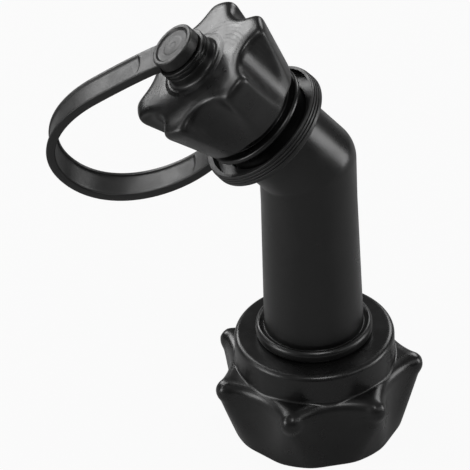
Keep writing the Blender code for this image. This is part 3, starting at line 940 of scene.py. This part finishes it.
@dataclass
class CouplingNut(LuggedBody):
    """The loose union nut: a drum over a skirt with seven lugs, threaded inside for the can's neck.

    Attributes:
        drum_fillet: rounding of the drum's top edge.
        drum_join: where the drum's turned top takes over from the lugged wall.
        shelf_height: height of the lugs' top at the drum; it falls outwards by shelf_fall.
        lug_radius: radius of the cone between the lugs' tips at lug_height, and rim_radius at the bottom.
        knob_centre: (radius, height) of the knob on each lug's tip.
        scoop_radius: radius of each upright hollow, whose nearest line to the axis is at scoop_foot.
        foot_reach: rounding where the drum meets the lugs; the other reaches round tip, edge, side and knob.
        rim_edge: (inset, height) of the rings that round the bottom rim.
        root_radius: radius between the turns of the thread, and seat_radius that of the seat above it.
        lead_in: the chamfer at the bore's mouth, as (radius, height).
        thread_span: the heights at which the can's thread starts and ends.
        thread_wall: the heights of the bare bore that carries it.
    """

    node: ClassVar[str] = "coupling_nut"
    slot: ClassVar[str] = "nut_plastic"
    body: ClassVar[str] = "nut"
    lugs: int = 7
    phase_deg: float = -118.3
    segments_per_lug: int = 48
    fan: RayFan = RayFan(0.5, 0.5, (25.3, 20.0), 81.5, 84, level_span=(23.9, 39.1), fan_span=(0.0, 16.0))
    height: float = 36.65
    top_wall: float = 3.0
    drum_radius: float = 26.95
    drum_fillet: float = 2.0
    drum_join: float = 33.7
    shelf_height: float = 26.3
    shelf_fall: float = 0.03
    foot_reach: float = 0.8
    lug_radius: float = 37.1
    lug_height: float = 25.0
    tip_reach: float = 7.0
    knob_centre: Span = (32.5, 21.8)
    knob_radius: float = 3.6
    knob_reach: float = 1.0
    rim_radius: float = 29.0
    rim_edge: tuple[Span, ...] = ((0.9, 0.0), (0.25, 0.12))
    scoop_radius: float = 24.5
    scoop_foot: float = 29.0
    edge_reach: float = 4.6
    side_reach: float = 2.6
    hole_radius: float = 17.2
    seat_radius: float = 24.4
    seat_foot: float = 22.0
    root_radius: float = 25.9
    lead_in: Span = (0.6, 0.8)
    thread_pitch: float = 5.0
    thread_height: float = 1.3
    thread_span: Span = (1.5, 19.8)
    thread_wall: Span = (1.0, 20.2)
    thread_phase: float = 0.25
    finish: Finish = MouldedPolyethylene(
        "nut_moulded_polyethylene", "#101010", "#1e1e1e", 0.29, mottle=13.0, hairlines=0.25)

    def outside(self, along: np.ndarray, across: np.ndarray, height: np.ndarray) -> np.ndarray:
        """Signed distance from the drum, its lugs and their knobs, in one hollow's own axes.

        Args:
            along: distance from the axis towards the middle of the hollow.
            across: distance sideways from that.
            height: height over the rim.

        Returns:
            Distances, positive outside the nut.
        """
        radius = np.hypot(along, across)
        slope = (self.lug_radius - self.rim_radius) / self.lug_height
        cone = (radius - self.rim_radius - slope * height) / math.hypot(1.0, slope)
        shelf = height - self.shelf_height + self.shelf_fall * (radius - self.drum_radius)
        tip = smooth_max(cone, shelf, self.tip_reach)
        hollow = self.scoop_radius - np.hypot(along - self.scoop_foot - self.scoop_radius, across)
        side = smooth_max(cone, hollow, self.side_reach)
        lugs = np.maximum(tip, smooth_max(side, shelf, self.edge_reach))
        half = math.pi / self.lugs
        reach, level = self.knob_centre
        ahead, aside = along - reach * math.cos(half), np.abs(across) - reach * math.sin(half)
        knob = np.sqrt(ahead ** 2 + aside ** 2 + (height - level) ** 2) - self.knob_radius
        knobbed = -smooth_max(-lugs, -knob, self.knob_reach)
        return -smooth_max(-knobbed, self.drum_radius - radius, self.foot_reach)

    def mesh(self) -> bpy.types.Mesh:
        """The nut: bottom rim, lugged wall, drum, hole, seat and threaded bore.

        Returns:
            A closed mesh.
        """
        wall = self.wall()
        rim = np.repeat(wall[:1], len(self.rim_edge), 0)
        for ring, (inset, rise) in zip(rim, self.rim_edge):
            ring[:, :2] *= (self.rim_radius - inset) / self.rim_radius
            ring[:, 2] = rise
        ceiling = self.height - self.top_wall
        top = profile([
            (self.drum_radius, self.drum_join, 0),
            (self.drum_radius, self.height, self.drum_fillet),
            (self.hole_radius, self.height, 0.5),
            (self.hole_radius, ceiling, 0.3),
            (self.seat_radius, ceiling, 0.5),
            (self.seat_radius, self.seat_foot, 0.6),
            (self.root_radius, self.seat_foot - (self.root_radius - self.seat_radius), 0.4),
            (self.root_radius, self.lead_in[1], 0),
            (self.root_radius + self.lead_in[0], 0.0, 0),
        ], longest=0.5)
        ridge = thread(self.thread_pitch, -self.thread_height, self.thread_span, self.thread_wall, self.thread_phase)
        rings = np.concatenate([rim, wall, turned(top, self.ring_angles(), ridge)])
        return shell("coupling_nut_body", rings, ring_loop=True)


@dataclass
class BaseGasket(Piece):
    """The flat sealing ring on the tube's spigot, hidden inside the nut."""

    node: ClassVar[str] = "base_gasket"
    slot: ClassVar[str] = "gasket_rubber"
    body: ClassVar[str] = "spout"
    inner: float = 16.5
    outer: float = 23.7
    bottom: float = 27.55
    thickness: float = 2.5
    segments: int = 160
    finish: Finish = NitrileRubber(
        "gasket_nitrile_rubber", "#161616", "#2e2e2d", 0.62)

    def mesh(self) -> bpy.types.Mesh:
        """The gasket, with the slightly rounded edges of a punched ring.

        Returns:
            A closed mesh.
        """
        top = self.bottom + self.thickness
        middle = (self.inner + self.outer) / 2
        path = profile([
            (middle, top, 0),
            (self.outer, top, 0.35),
            (self.outer, self.bottom, 0.15),
            (self.inner, self.bottom, 0.35),
            (self.inner, top, 0.15),
            (middle - 0.1, top, 0),
        ], longest=1.0)
        return shell("base_gasket_ring", turned(path, around(self.segments)), ring_loop=True)


@dataclass
class ClosureCap(LuggedBody):
    """The screw cap: six blunt lugs between hollows, a crowned top, and a ringed boss for the strap's stem.

    Attributes:
        rim_station: where the cap's open rim lies, with rim_radius there and lug_radius at top_station.
        rim_edge: (share of the wall, rise) of the rings that round the rim.
        crown: how far the top falls between the radii of crown_span.
        scoop_radius: radius of each hollow, which comes to scoop_distance from the axis and leans by scoop_lean.
        side_reach: rounding of the hollows' edges; tip_reach and top_reach round the lugs and the hollows' tops.
        boss_foot: radius at which the boss's turned foot takes over from the top.
        ring_depth: depth of the two grooves round the boss.
        boss_draft: how far the boss steps in between them.
        pole: radius of the smallest ring on a closed face.
        lead_in: the chamfer at the bore's mouth.
        thread_span: the stations at which the thread starts and ends.
        thread_wall: the stations of the bare bore that carries it.
    """

    node: ClassVar[str] = "closure_cap"
    slot: ClassVar[str] = "cap_plastic"
    body: ClassVar[str] = "cap"
    lugs: int = 6
    phase_deg: float = 49.6
    segments_per_lug: int = 48
    fan: RayFan = RayFan(32.0, 0.45, (12.0, 48.0), 90.0, 66, level_span=(14.0, 34.0), fan_span=(6.0, 34.0))
    rim_station: float = 31.4
    rim_radius: float = 19.3
    rim_edge: tuple[Span, ...] = ((0.25, 0.02), (0.06, 0.2))
    lug_radius: float = 26.8
    top_station: float = 55.6
    crown: float = 0.4
    crown_span: Span = (11.0, 25.0)
    scoop_radius: float = 9.8
    scoop_distance: float = 18.6
    scoop_lean: float = 1.3
    side_reach: float = 1.6
    tip_reach: float = 5.0
    top_reach: float = 3.6
    bore_radius: float = 16.9
    ceiling: float = 52.4
    boss_radius: float = 8.9
    boss_foot: float = 11.0
    boss_top: float = 61.8
    boss_floor: float = 54.9
    boss_bore_radius: float = 5.2
    boss_lip_radius: float = 4.0
    boss_lip_thickness: float = 1.5
    ring_depth: float = 0.35
    boss_draft: float = 0.05
    pole: float = 0.4
    lead_in: float = 0.3
    thread_pitch: float = 6.0
    thread_height: float = 1.35
    thread_span: Span = (33.0, 47.5)
    thread_wall: Span = (32.2, 48.0)
    thread_phase: float = 0.5
    finish: Finish = MouldedPolyethylene(
        "cap_moulded_polyethylene", "#111111", "#272727", 0.30, mottle=9.0, hairlines=0.4, flow=0.2,
        flow_turn=(0.0, BEND_DEG, 0.0), flow_centre=(-8.0, -9.0, 118.0))

    def outside(self, along: np.ndarray, across: np.ndarray, height: np.ndarray) -> np.ndarray:
        """Signed distance from the lugged body, in one hollow's own axes.

        Args:
            along: distance from the neck's axis towards the middle of the hollow.
            across: distance sideways from that.
            height: station on the neck.

        Returns:
            Distances, positive outside the cap.
        """
        depth = self.top_station - self.rim_station
        slope = (self.lug_radius - self.rim_radius) / depth
        radius = np.hypot(along, across)
        cone = (radius - self.rim_radius - slope * (height - self.rim_station)) / math.hypot(1.0, slope)
        centre = self.scoop_distance + self.scoop_lean * (height - self.rim_station) / depth + self.scoop_radius
        scoop = self.scoop_radius - np.hypot(along - centre, across)
        face = height - self.top_station + self.crown * smoothstep(*self.crown_span, radius)
        tip = smooth_max(cone, face, self.tip_reach)
        return smooth_max(tip, smooth_max(scoop, face, self.top_reach), self.side_reach)

    def boss(self) -> np.ndarray:
        """The boss with its two ring grooves, its lip and its blind bore.

        Returns:
            (radius, station) points from the cap's top to the middle of the bore's floor.
        """
        foot, top, radius = self.top_station, self.boss_top, self.boss_radius
        lip = top - self.boss_lip_thickness
        sunk, drafted = radius - self.ring_depth, radius - self.boss_draft
        return profile([
            (self.boss_foot, foot, 0),
            (radius + 0.15, foot, 1.2),
            (radius, foot + 3.2, 0.1),
            (sunk, foot + 3.3, 0.1),
            (sunk, foot + 3.7, 0.1),
            (drafted, foot + 3.8, 0.1),
            (drafted, top - 1.3, 0.1),
            (sunk, top - 1.2, 0.1),
            (sunk, top - 0.9, 0.1),
            (radius, top - 0.8, 0.1),
            (radius, top, 0.25),
            (self.boss_lip_radius, top, 0.3),
            (self.boss_lip_radius, lip, 0.2),
            (self.boss_bore_radius, lip, 0.2),
            (self.boss_bore_radius, self.boss_floor, 0.4),
            (self.pole, self.boss_floor, 0),
            (0.0, self.boss_floor, 0),
        ], longest=0.7, arc_deg=18.0)

    def rim(self, wall: np.ndarray) -> np.ndarray:
        """Rings that lead from the bore round the open rim to the wall.

        Args:
            wall: the wall's rings.

        Returns:
            An array of (rings, points, 3).
        """
        rim = np.repeat(wall[:1], len(self.rim_edge), 0)
        for ring, (share, rise) in zip(rim, self.rim_edge):
            reach = np.hypot(ring[:, 0], ring[:, 1])
            ring[:, :2] *= ((reach - share * (reach - self.bore_radius)) / reach)[:, None]
            ring[:, 2] = self.rim_station + rise
        return rim

    def mesh(self) -> bpy.types.Mesh:
        """The cap: ceiling and threaded bore, open rim, lugged wall, top and boss.

        Returns:
            A closed mesh.
        """
        angles = self.ring_angles()
        bore = profile([
            (0.0, self.ceiling, 0),
            (self.pole, self.ceiling, 0),
            (self.bore_radius, self.ceiling, 0.6),
            (self.bore_radius, self.rim_station + self.lead_in, 0),
            (self.bore_radius + self.lead_in, self.rim_station, 0),
        ], longest=0.4)
        ridge = thread(self.thread_pitch, -self.thread_height, self.thread_span, self.thread_wall, self.thread_phase)
        wall = self.wall()
        rings = np.concatenate([turned(bore, angles, ridge), self.rim(wall), wall, turned(self.boss(), angles)])
        return shell("closure_cap_body", to_neck(rings), ring_loop=False)


@dataclass
class CapSeal(Piece):
    """The foam liner disc that the cap presses on the mouth."""

    node: ClassVar[str] = "cap_seal"
    slot: ClassVar[str] = "seal_foam"
    body: ClassVar[str] = "liner"
    radius: float = 16.5
    bottom: float = 50.4
    thickness: float = 1.7
    edge_fillet: float = 0.4
    segments: int = 128
    finish: Finish = FoamLiner("liner_foam_polyethylene", "#e3e2dd", "#c9c8c2", 0.66)

    def mesh(self) -> bpy.types.Mesh:
        """The liner disc.

        Returns:
            A closed mesh.
        """
        top = self.bottom + self.thickness
        path = profile([
            (0.0, top, 0),
            (self.radius, top, self.edge_fillet),
            (self.radius, self.bottom, self.edge_fillet),
            (0.0, self.bottom, 0),
        ], longest=1.2)
        return shell("cap_seal_disc", to_neck(turned(path, around(self.segments))), ring_loop=False)


class BandEnd(Enum):
    """The two ends of the strap's band."""

    COLLAR = "collar"
    BUTTON = "button"


@dataclass
class RetainingStrap(Piece):
    """One flexible moulding: collar on the neck, looped band with panelled faces, and a snap-in button.

    Attributes:
        azimuth_deg: the direction of the loop's plane round the neck.
        back: station of the collar's underside, and front that of its lip.
        root_swell: how much thicker the collar is where the band leaves it.
        groove_drops: how far under the lip the collar's three grooves lie.
        groove_half: half a groove's height, at its mouth and at its floor.
        draft: how far the collar's outside steps in at the lip, and by how much less per millimetre under it.
        width: the band's width, with plain rims of rim_width beside the panel, which is sunk by recess.
        plain_ends: how far from each end of the band the panel starts; panel_bow bends that start to an arc.
        reach: the loop's farthest distance from the neck's axis, at reach_station.
        crest_radius: where the loop is highest, at crest_station.
        root_sink: how far the band's root lies inside the collar's lip.
        button_sink: how far the band's other end lies inside the button's edge, and under its middle.
        root_arm: handle of the band's curve at the collar, as a share of the loop's depth.
        reach_arms: handles below and above the farthest point, as shares of the heights to either end.
        crest_arms: handles before and after the crest, as shares of the distances to either end.
        button_arm: handle at the button, as a share of the distance from the crest.
        dish: depth of the button's face under its raised rim.
        face: (radius, rise, fillet) of the faint rings in that face.
        barb_radius: radius of the barb that holds the stem in the cap's boss.
        band_end_share: where the last curve of the band stops, short of doubling back inside the button.
    """

    node: ClassVar[str] = "retaining_strap"
    slot: ClassVar[str] = "strap_plastic"
    body: ClassVar[str] = "strap"
    azimuth_deg: float = 159.8
    back: float = 18.9
    front: float = 23.6
    floor_thickness: float = 1.8
    inner_radius: float = 16.1
    lip_radius: float = 20.2
    outer_radius: float = 21.6
    root_swell: float = 1.1
    groove_drops: tuple[float, ...] = (0.95, 2.0, 3.05)
    groove_half: Span = (0.24, 0.08)
    groove_depth: float = 0.42
    draft: Span = (0.16, 0.05)
    width: float = 10.2
    thickness: float = 3.0
    edge_radius: float = 0.45
    rim_width: float = 1.2
    recess: float = 0.5
    plain_ends: dict[BandEnd, float] = field(default_factory=lambda: {BandEnd.COLLAR: 8.0, BandEnd.BUTTON: 7.0})
    panel_bow: float = 1.6
    panel_ramp: float = 0.7
    reach: float = 63.9
    reach_station: float = 44.8
    crest_radius: float = 34.6
    crest_station: float = 66.0
    root_sink: float = 0.5
    button_sink: Span = (2.2, 0.8)
    button_radius: float = 7.8
    button_rim: float = 1.3
    button_bottom: float = 62.1
    button_top: float = 66.1
    root_arm: Span = (0.46, -0.09)
    reach_arms: Span = (0.80, 0.62)
    crest_arms: Span = (0.58, 0.15)
    button_arm: Span = (0.05, 0.05)
    dish: float = 0.5
    face: tuple[Triple, ...] = (
        (0.0, -0.05, 0), (1.0, -0.05, 0.4), (1.4, 0.0, 0.4), (3.1, 0.0, 0.5), (3.7, -0.07, 0.5),
    )
    stem_radius: float = 3.6
    barb_radius: float = 4.6
    barb_top: float = 60.0
    stem_tip: float = 55.2
    band_end_share: float = 0.93
    steps: int = 390
    collar_segments: int = 240
    button_segments: int = 128
    finish: Finish = MouldedPolyethylene(
        "strap_moulded_polyethylene", "#181818", "#2a2a2a", 0.42, mottle=7.0, grain_depth=0.014,
        hairlines=0.35)

    def centreline(self) -> list[tuple[Vector, ...]]:
        """The loop's three Bezier pieces: out to the reach, back to the crest, and down into the button.

        Returns:
            For each piece its end, two handles and other end, as (distance from the neck's axis, station).
        """
        root = Vector((self.lip_radius + self.root_sink, self.front - self.thickness / 2 - self.root_sink))
        far = Vector((self.reach, self.reach_station))
        crest = Vector((self.crest_radius, self.crest_station))
        inward, under = self.button_sink
        button = Vector((self.button_radius - inward, (self.button_bottom + self.button_top) / 2 - under))
        depth, fall = far.x - root.x, crest.x - button.x
        below = Vector((0, self.reach_arms[0] * (far.y - root.y)))
        above = Vector((0, self.reach_arms[1])) * (crest.y - far.y)
        before = Vector((self.crest_arms[0] * (far.x - crest.x), 0))
        after = Vector((self.crest_arms[1] * fall, 0))
        return [
            (root, root + Vector(self.root_arm) * depth, far - below, far),
            (far, far + above, crest + before, crest),
            (crest, crest - after, button + Vector(self.button_arm) * fall, button),
        ]

    def stations(self) -> tuple[np.ndarray, np.ndarray, np.ndarray]:
        """Evenly spaced places along the loop.

        Returns:
            Their centres, their tangents, and the length of band up to each.
        """
        fine = 400
        points, tangents = [], []
        pieces = self.centreline()
        for number, piece in enumerate(pieces):
            a, b, c, d = (np.array(part) for part in piece)
            last = self.band_end_share if number == len(pieces) - 1 else 1.0
            for share in np.linspace(0, last, fine):
                rest = 1 - share
                points.append(a * rest**3 + 3 * b * rest**2 * share + 3 * c * rest * share**2 + d * share**3)
                tangents.append((b - a) * rest**2 + 2 * (c - b) * rest * share + (d - c) * share**2)
        path, lean = np.array(points), np.array(tangents)
        lean /= np.linalg.norm(lean, axis=1)[:, None]
        run = np.concatenate([[0.0], np.cumsum(np.linalg.norm(np.diff(path, axis=0), axis=1))])
        even = np.linspace(0.0, run[-1], self.steps)
        centre = np.stack([np.interp(even, run, path[:, axis]) for axis in (0, 1)], -1)
        tangent = np.stack([np.interp(even, run, lean[:, axis]) for axis in (0, 1)], -1)
        return centre, tangent / np.linalg.norm(tangent, axis=1)[:, None], even

    def section(self) -> tuple[np.ndarray, np.ndarray]:
        """The plain band's section with rounded corners, closely stepped where the panel's edges will be.

        Returns:
            (across, rise) points, and the share of the panel's depth that each takes.
        """
        edge, high, corner = self.width / 2, self.thickness / 2, self.edge_radius
        panel = edge - self.rim_width
        # Eight close points carry the panel's sloping edge, and five wide ones its floor up to the middle.
        across = list(np.linspace(-panel - 0.25, -panel + 0.45, 8)) + list(np.linspace(-panel + 0.9, 0, 5))
        across += [-value for value in reversed(across[:-1])]
        arc = [(edge - corner + corner * math.sin(turn), high - corner + corner * math.cos(turn))
               for turn in np.linspace(0, math.pi / 2, 5)]
        left = [(-x, y) for x, y in reversed(arc)]
        upper = left + [(value, high) for value in across] + arc
        points = upper + [(x, -y) for x, y in reversed(upper)]
        inside = [1.0 - float(smoothstep(panel - 0.35, panel + 0.1, abs(x))) if abs(abs(y) - high) < WELD else 0.0
                  for x, y in points]
        return np.array(points), np.array(inside)

    def panel_share(self, run: np.ndarray, across: np.ndarray) -> np.ndarray:
        """How deep the panel is along the band: none near the ends, where it finishes in arcs.

        Args:
            run: length of band up to each station.
            across: the section's sideways distances.

        Returns:
            An array of (stations, section points), from 0 to 1.
        """
        bow = self.panel_bow * (across / (self.width / 2)) ** 2
        from_collar = run[:, None] - self.plain_ends[BandEnd.COLLAR] - bow[None, :]
        from_button = run[-1] - run[:, None] - self.plain_ends[BandEnd.BUTTON] - bow[None, :]
        return smoothstep(0.0, self.panel_ramp, np.minimum(from_collar, from_button))

    def band_mesh(self) -> bpy.types.Mesh:
        """The looped band with a shallow panel on each face.

        Returns:
            A closed mesh.
        """
        centre, tangent, run = self.stations()
        points, inside = self.section()
        side = np.stack([-tangent[:, 1], tangent[:, 0]], -1)
        sunk = self.recess * self.panel_share(run, points[:, 0]) * inside[None, :]
        rise = points[None, :, 1] - np.sign(points[None, :, 1]) * sunk
        flat = centre[:, None, :] + side[:, None, :] * rise[:, :, None]
        turn = math.radians(self.azimuth_deg)
        across = np.repeat(points[None, :, 0], len(run), 0)
        rings = np.stack([
            flat[:, :, 0] * math.cos(turn) - across * math.sin(turn),
            flat[:, :, 0] * math.sin(turn) + across * math.cos(turn),
            flat[:, :, 1],
        ], -1)
        return shell("strap_band", to_neck(rings), ring_loop=False)

    def collar_mesh(self) -> bpy.types.Mesh:
        """The cupped collar, with fine close grooves round its outside, thicker where the band leaves it.

        Returns:
            A closed mesh.
        """
        floor, out = self.back + self.floor_thickness, self.outer_radius
        corners: list[Triple] = [(self.lip_radius, self.front, 0.25), (out - 0.45, self.front, 0.3)]
        mouth, bed = self.groove_half
        for drop in self.groove_drops:
            station = self.front - drop
            wall = out - (self.draft[0] - self.draft[1] * drop)
            sunk = wall - self.groove_depth
            corners += [
                (wall - 0.1, station + mouth, 0.1), (sunk, station + bed, 0.06),
                (sunk, station - bed, 0.06), (wall + 0.02, station - mouth, 0.1),
            ]
        corners += [
            (out, self.back, 0.45), (self.inner_radius, self.back, 0.3), (self.inner_radius, floor, 0.3),
            (self.lip_radius, floor, 0.4), (self.lip_radius, self.front - 0.6, 0),
        ]
        path = profile(corners, longest=0.6, arc_deg=15.0)
        turn = math.radians(self.azimuth_deg)
        rings = turned(path, around(self.collar_segments))
        reach = np.hypot(rings[:, :, 0], rings[:, :, 1])
        toward = np.maximum(0.0, (rings[:, :, 0] * math.cos(turn) + rings[:, :, 1] * math.sin(turn)) / reach)
        outer = smoothstep(self.lip_radius + 0.05, self.lip_radius + 0.4, reach)
        rings[:, :, :2] *= (1.0 + self.root_swell * toward ** 3 * outer / reach)[:, :, None]
        return shell("strap_collar", to_neck(rings), ring_loop=True)

    def button_mesh(self) -> bpy.types.Mesh:
        """The button with its raised rim and dished face, and the barbed stem under it.

        Returns:
            A closed mesh.
        """
        rim, face = self.button_radius - self.button_rim, self.button_top - self.dish
        path = profile([
            *((radius, face + rise, fillet) for radius, rise, fillet in self.face),
            (rim - 0.6, face, 0.5),
            (rim, self.button_top, 0.4),
            (self.button_radius, self.button_top, 0.5),
            (self.button_radius, self.button_bottom, 0.4),
            (self.stem_radius, self.button_bottom, 0.3),
            (self.stem_radius, self.barb_top, 0),
            (self.barb_radius, self.barb_top, 0.2),
            (self.barb_radius, self.barb_top - 0.4, 0.2),
            (self.stem_radius, self.barb_top - 1.6, 0.3),
            (self.stem_radius - 0.6, self.stem_tip, 0.4),
            (0.0, self.stem_tip, 0),
        ], longest=0.6, arc_deg=15.0)
        return shell("strap_button", to_neck(turned(path, around(self.button_segments))), ring_loop=False)

    def mesh(self) -> bpy.types.Mesh:
        """Collar, band and button, joined to one closed mesh."""
        return joined("retaining_strap_body", [self.collar_mesh(), self.band_mesh(), self.button_mesh()])

    def attach(self, piece: bpy.types.Object) -> None:
        """Bakes the strap's placement into its mesh and leaves it on no body; the band is not made to bend between
        the collar, which stays on the neck, and the button, which lifts with the liner.

        Args:
            piece: the strap.
        """
        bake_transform(piece)


# Studio


@dataclass(frozen=True)
class Softbox:
    """A square area lamp that points at the object's middle.

    Attributes:
        name: the lamp's name.
        place: where it stands, in metres.
        size: the length of its side, in metres.
        power: its power, in watts.
    """

    name: str
    place: Triple
    size: float
    power: float

    def build(self, aim: Vector) -> None:
        """Adds the lamp.

        Args:
            aim: the point that it faces, in metres.
        """
        lamp = bpy.data.lights.new(self.name, "AREA")
        lamp.shape = "SQUARE"
        lamp.size = self.size
        lamp.energy = self.power
        holder = bpy.data.objects.new(self.name, lamp)
        bpy.context.scene.collection.objects.link(holder)
        holder.location = self.place
        holder.rotation_euler = (aim - Vector(self.place)).to_track_quat("-Z", "Y").to_euler()


@dataclass
class Studio:
    """Pale floor, white surroundings, soft lamps and the camera at the photograph's viewing angle.

    Attributes:
        azimuth_deg: the camera's direction, counted from -Y towards +X; then its elevation and roll.
        distance: from the camera to the target, both in millimetres.
        lens: focal length for the sensor's width, in millimetres.
        clip: the nearest and farthest thing that the camera sees, in metres.
        floor_half: half the table's side, and floor_drop how far it lies under the object, in metres.
        floor_glow: how far the table is washed out to white for the camera; the rest keeps the shadow.
        world_strength: how bright the room lights the object.
        mirrored_room: how much of the white surroundings a mirror image keeps.
    """

    azimuth_deg: float = -10.7815
    elevation_deg: float = 34.9461
    roll_deg: float = -3.3219
    distance: float = 868.44
    target: Triple = (-25.117, -0.003, 80.339)
    lens: float = 204.754
    sensor: float = 36.0
    clip: Span = (0.05, 20.0)
    floor_half: float = 4.0
    floor_drop: float = 0.00005
    floor_colour: str = "#a0a0a0"
    floor_roughness: float = 0.9
    floor_glow: float = 0.94
    world_strength: float = 0.12
    mirrored_room: float = 0.05
    lamps: tuple[Softbox, ...] = (
        Softbox("back_left_high_softbox", (-0.357, 0.474, 0.769), 0.35, 1.9),
        Softbox("back_left_low_softbox", (-0.385, 0.739, 0.446), 0.30, 2.0),
        Softbox("back_right_softbox", (0.552, 0.577, 0.460), 0.38, 1.9),
        Softbox("left_softbox", (-0.881, -0.151, 0.313), 0.40, 2.9),
        Softbox("right_softbox", (0.848, -0.154, 0.236), 0.40, 2.4),
        Softbox("front_right_softbox", (0.572, -0.501, 0.530), 0.40, 0.4),
        Softbox("overhead_softbox", (0.020, -0.430, 0.870), 0.28, 1.7),
        Softbox("left_high_softbox", (-0.730, 0.120, 0.640), 0.20, 0.6),
    )

    def camera(self) -> None:
        """Adds the camera at the angle fitted to the photograph, its optical axis through the picture's centre."""
        az, el, roll = (math.radians(value) for value in (self.azimuth_deg, self.elevation_deg, self.roll_deg))
        back = Vector((math.sin(az) * math.cos(el), -math.cos(az) * math.cos(el), math.sin(el)))
        right = Vector((math.cos(az), math.sin(az), 0.0))
        up = back.cross(right)
        right_rolled = right * math.cos(roll) + up * math.sin(roll)
        up_rolled = up * math.cos(roll) - right * math.sin(roll)
        turn = Matrix((right_rolled, up_rolled, back)).transposed().to_4x4()
        data = bpy.data.cameras.new("photo_camera")
        data.lens = self.lens
        data.sensor_width = self.sensor
        data.clip_start, data.clip_end = self.clip
        holder = bpy.data.objects.new("photo_camera", data)
        bpy.context.scene.collection.objects.link(holder)
        holder.matrix_world = Matrix.Translation((Vector(self.target) + back * self.distance) * MM) @ turn
        bpy.context.scene.camera = holder

    def white_share(self, tree: bpy.types.NodeTree) -> bpy.types.NodeSocket:
        """How white a ray sees the surroundings: fully straight or through a piece, less in a mirror image.

        Black plastic mirrors only a part of a white backdrop, because the studio around the table is dark.

        Args:
            tree: the node tree of the table or the world.

        Returns:
            A socket with that share, from 0 to 1.
        """
        paths = add_node(tree, "ShaderNodeLightPath", {})
        straight = add_node(tree, "ShaderNodeMath", {
            0: paths.outputs["Is Camera Ray"], 1: paths.outputs["Is Transmission Ray"],
        }, operation="MAXIMUM")
        mirrored = add_node(tree, "ShaderNodeMath", {
            0: paths.outputs["Is Glossy Ray"], 1: self.mirrored_room,
        }, operation="MULTIPLY")
        return add_node(tree, "ShaderNodeMath", {
            0: straight.outputs["Value"], 1: mirrored.outputs["Value"],
        }, operation="MAXIMUM").outputs["Value"]

    def floor(self) -> None:
        """A wide white table top that keeps a faint shadow under the object."""
        mesh = bpy.data.meshes.new("studio_floor")
        half = self.floor_half
        mesh.from_pydata([(-half, -half, 0), (half, -half, 0), (half, half, 0), (-half, half, 0)], [], [(0, 1, 2, 3)])
        plane = bpy.data.objects.new("studio_floor", mesh)
        plane.location.z = -self.floor_drop
        bpy.context.scene.collection.objects.link(plane)
        material = bpy.data.materials.new("white_table_top")
        material.use_nodes = True
        tree = material.node_tree
        shader = tree.nodes["Principled BSDF"]
        shader.inputs["Base Color"].default_value = linear(self.floor_colour)
        shader.inputs["Roughness"].default_value = self.floor_roughness
        glow = add_node(tree, "ShaderNodeEmission", {"Color": (1.0, 1.0, 1.0, 1.0), "Strength": 1.0})
        seen = add_node(tree, "ShaderNodeMath", {
            0: self.white_share(tree), 1: self.floor_glow,
        }, operation="MULTIPLY")
        mixed = add_node(tree, "ShaderNodeMixShader", {
            0: seen.outputs["Value"], 1: shader.outputs["BSDF"], 2: glow.outputs["Emission"],
        })
        tree.links.new(mixed.outputs["Shader"], tree.nodes["Material Output"].inputs["Surface"])
        mesh.materials.append(material)

    def surroundings(self) -> None:
        """A soft grey room, brighter overhead, that the camera sees as white."""
        world = bpy.data.worlds.new("studio_room")
        world.use_nodes = True
        tree = world.node_tree
        tree.nodes.clear()
        direction = add_node(tree, "ShaderNodeTexCoord", {}).outputs["Generated"]
        parts = add_node(tree, "ShaderNodeSeparateXYZ", {"Vector": direction})
        height = add_node(tree, "ShaderNodeMapRange", {
            "Value": parts.outputs["Z"], "From Min": -0.2, "From Max": 1.0, "To Min": 0.25, "To Max": 1.0,
        }, interpolation_type="SMOOTHSTEP").outputs["Result"]
        room = add_node(tree, "ShaderNodeBackground", {"Color": height, "Strength": self.world_strength})
        white = add_node(tree, "ShaderNodeBackground", {"Color": (1.0, 1.0, 1.0, 1.0), "Strength": 1.0})
        mixed = add_node(tree, "ShaderNodeMixShader", {
            0: self.white_share(tree), 1: room.outputs["Background"], 2: white.outputs["Background"],
        })
        output = add_node(tree, "ShaderNodeOutputWorld", {"Surface": mixed.outputs["Shader"]})
        output.is_active_output = True
        bpy.context.scene.world = world

    def build(self) -> None:
        """Sets up the whole studio."""
        bpy.context.scene.view_settings.view_transform = "Standard"
        self.floor()
        self.surroundings()
        for lamp in self.lamps:
            lamp.build(Vector(self.target) * MM)
        self.camera()


def main() -> None:
    """Builds the studio and every piece."""
    logging.basicConfig(level=logging.INFO, format="%(name)s: %(message)s")
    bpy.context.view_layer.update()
    Studio().build()
    for maker in (SpoutTube(), CouplingNut(), BaseGasket(), ClosureCap(), CapSeal(), RetainingStrap()):
        piece = maker.build()
        LOG.info("%s: %d faces, finish %s", piece.name, len(piece.data.polygons), maker.finish.name)


if __name__ == "__main__":
    main()
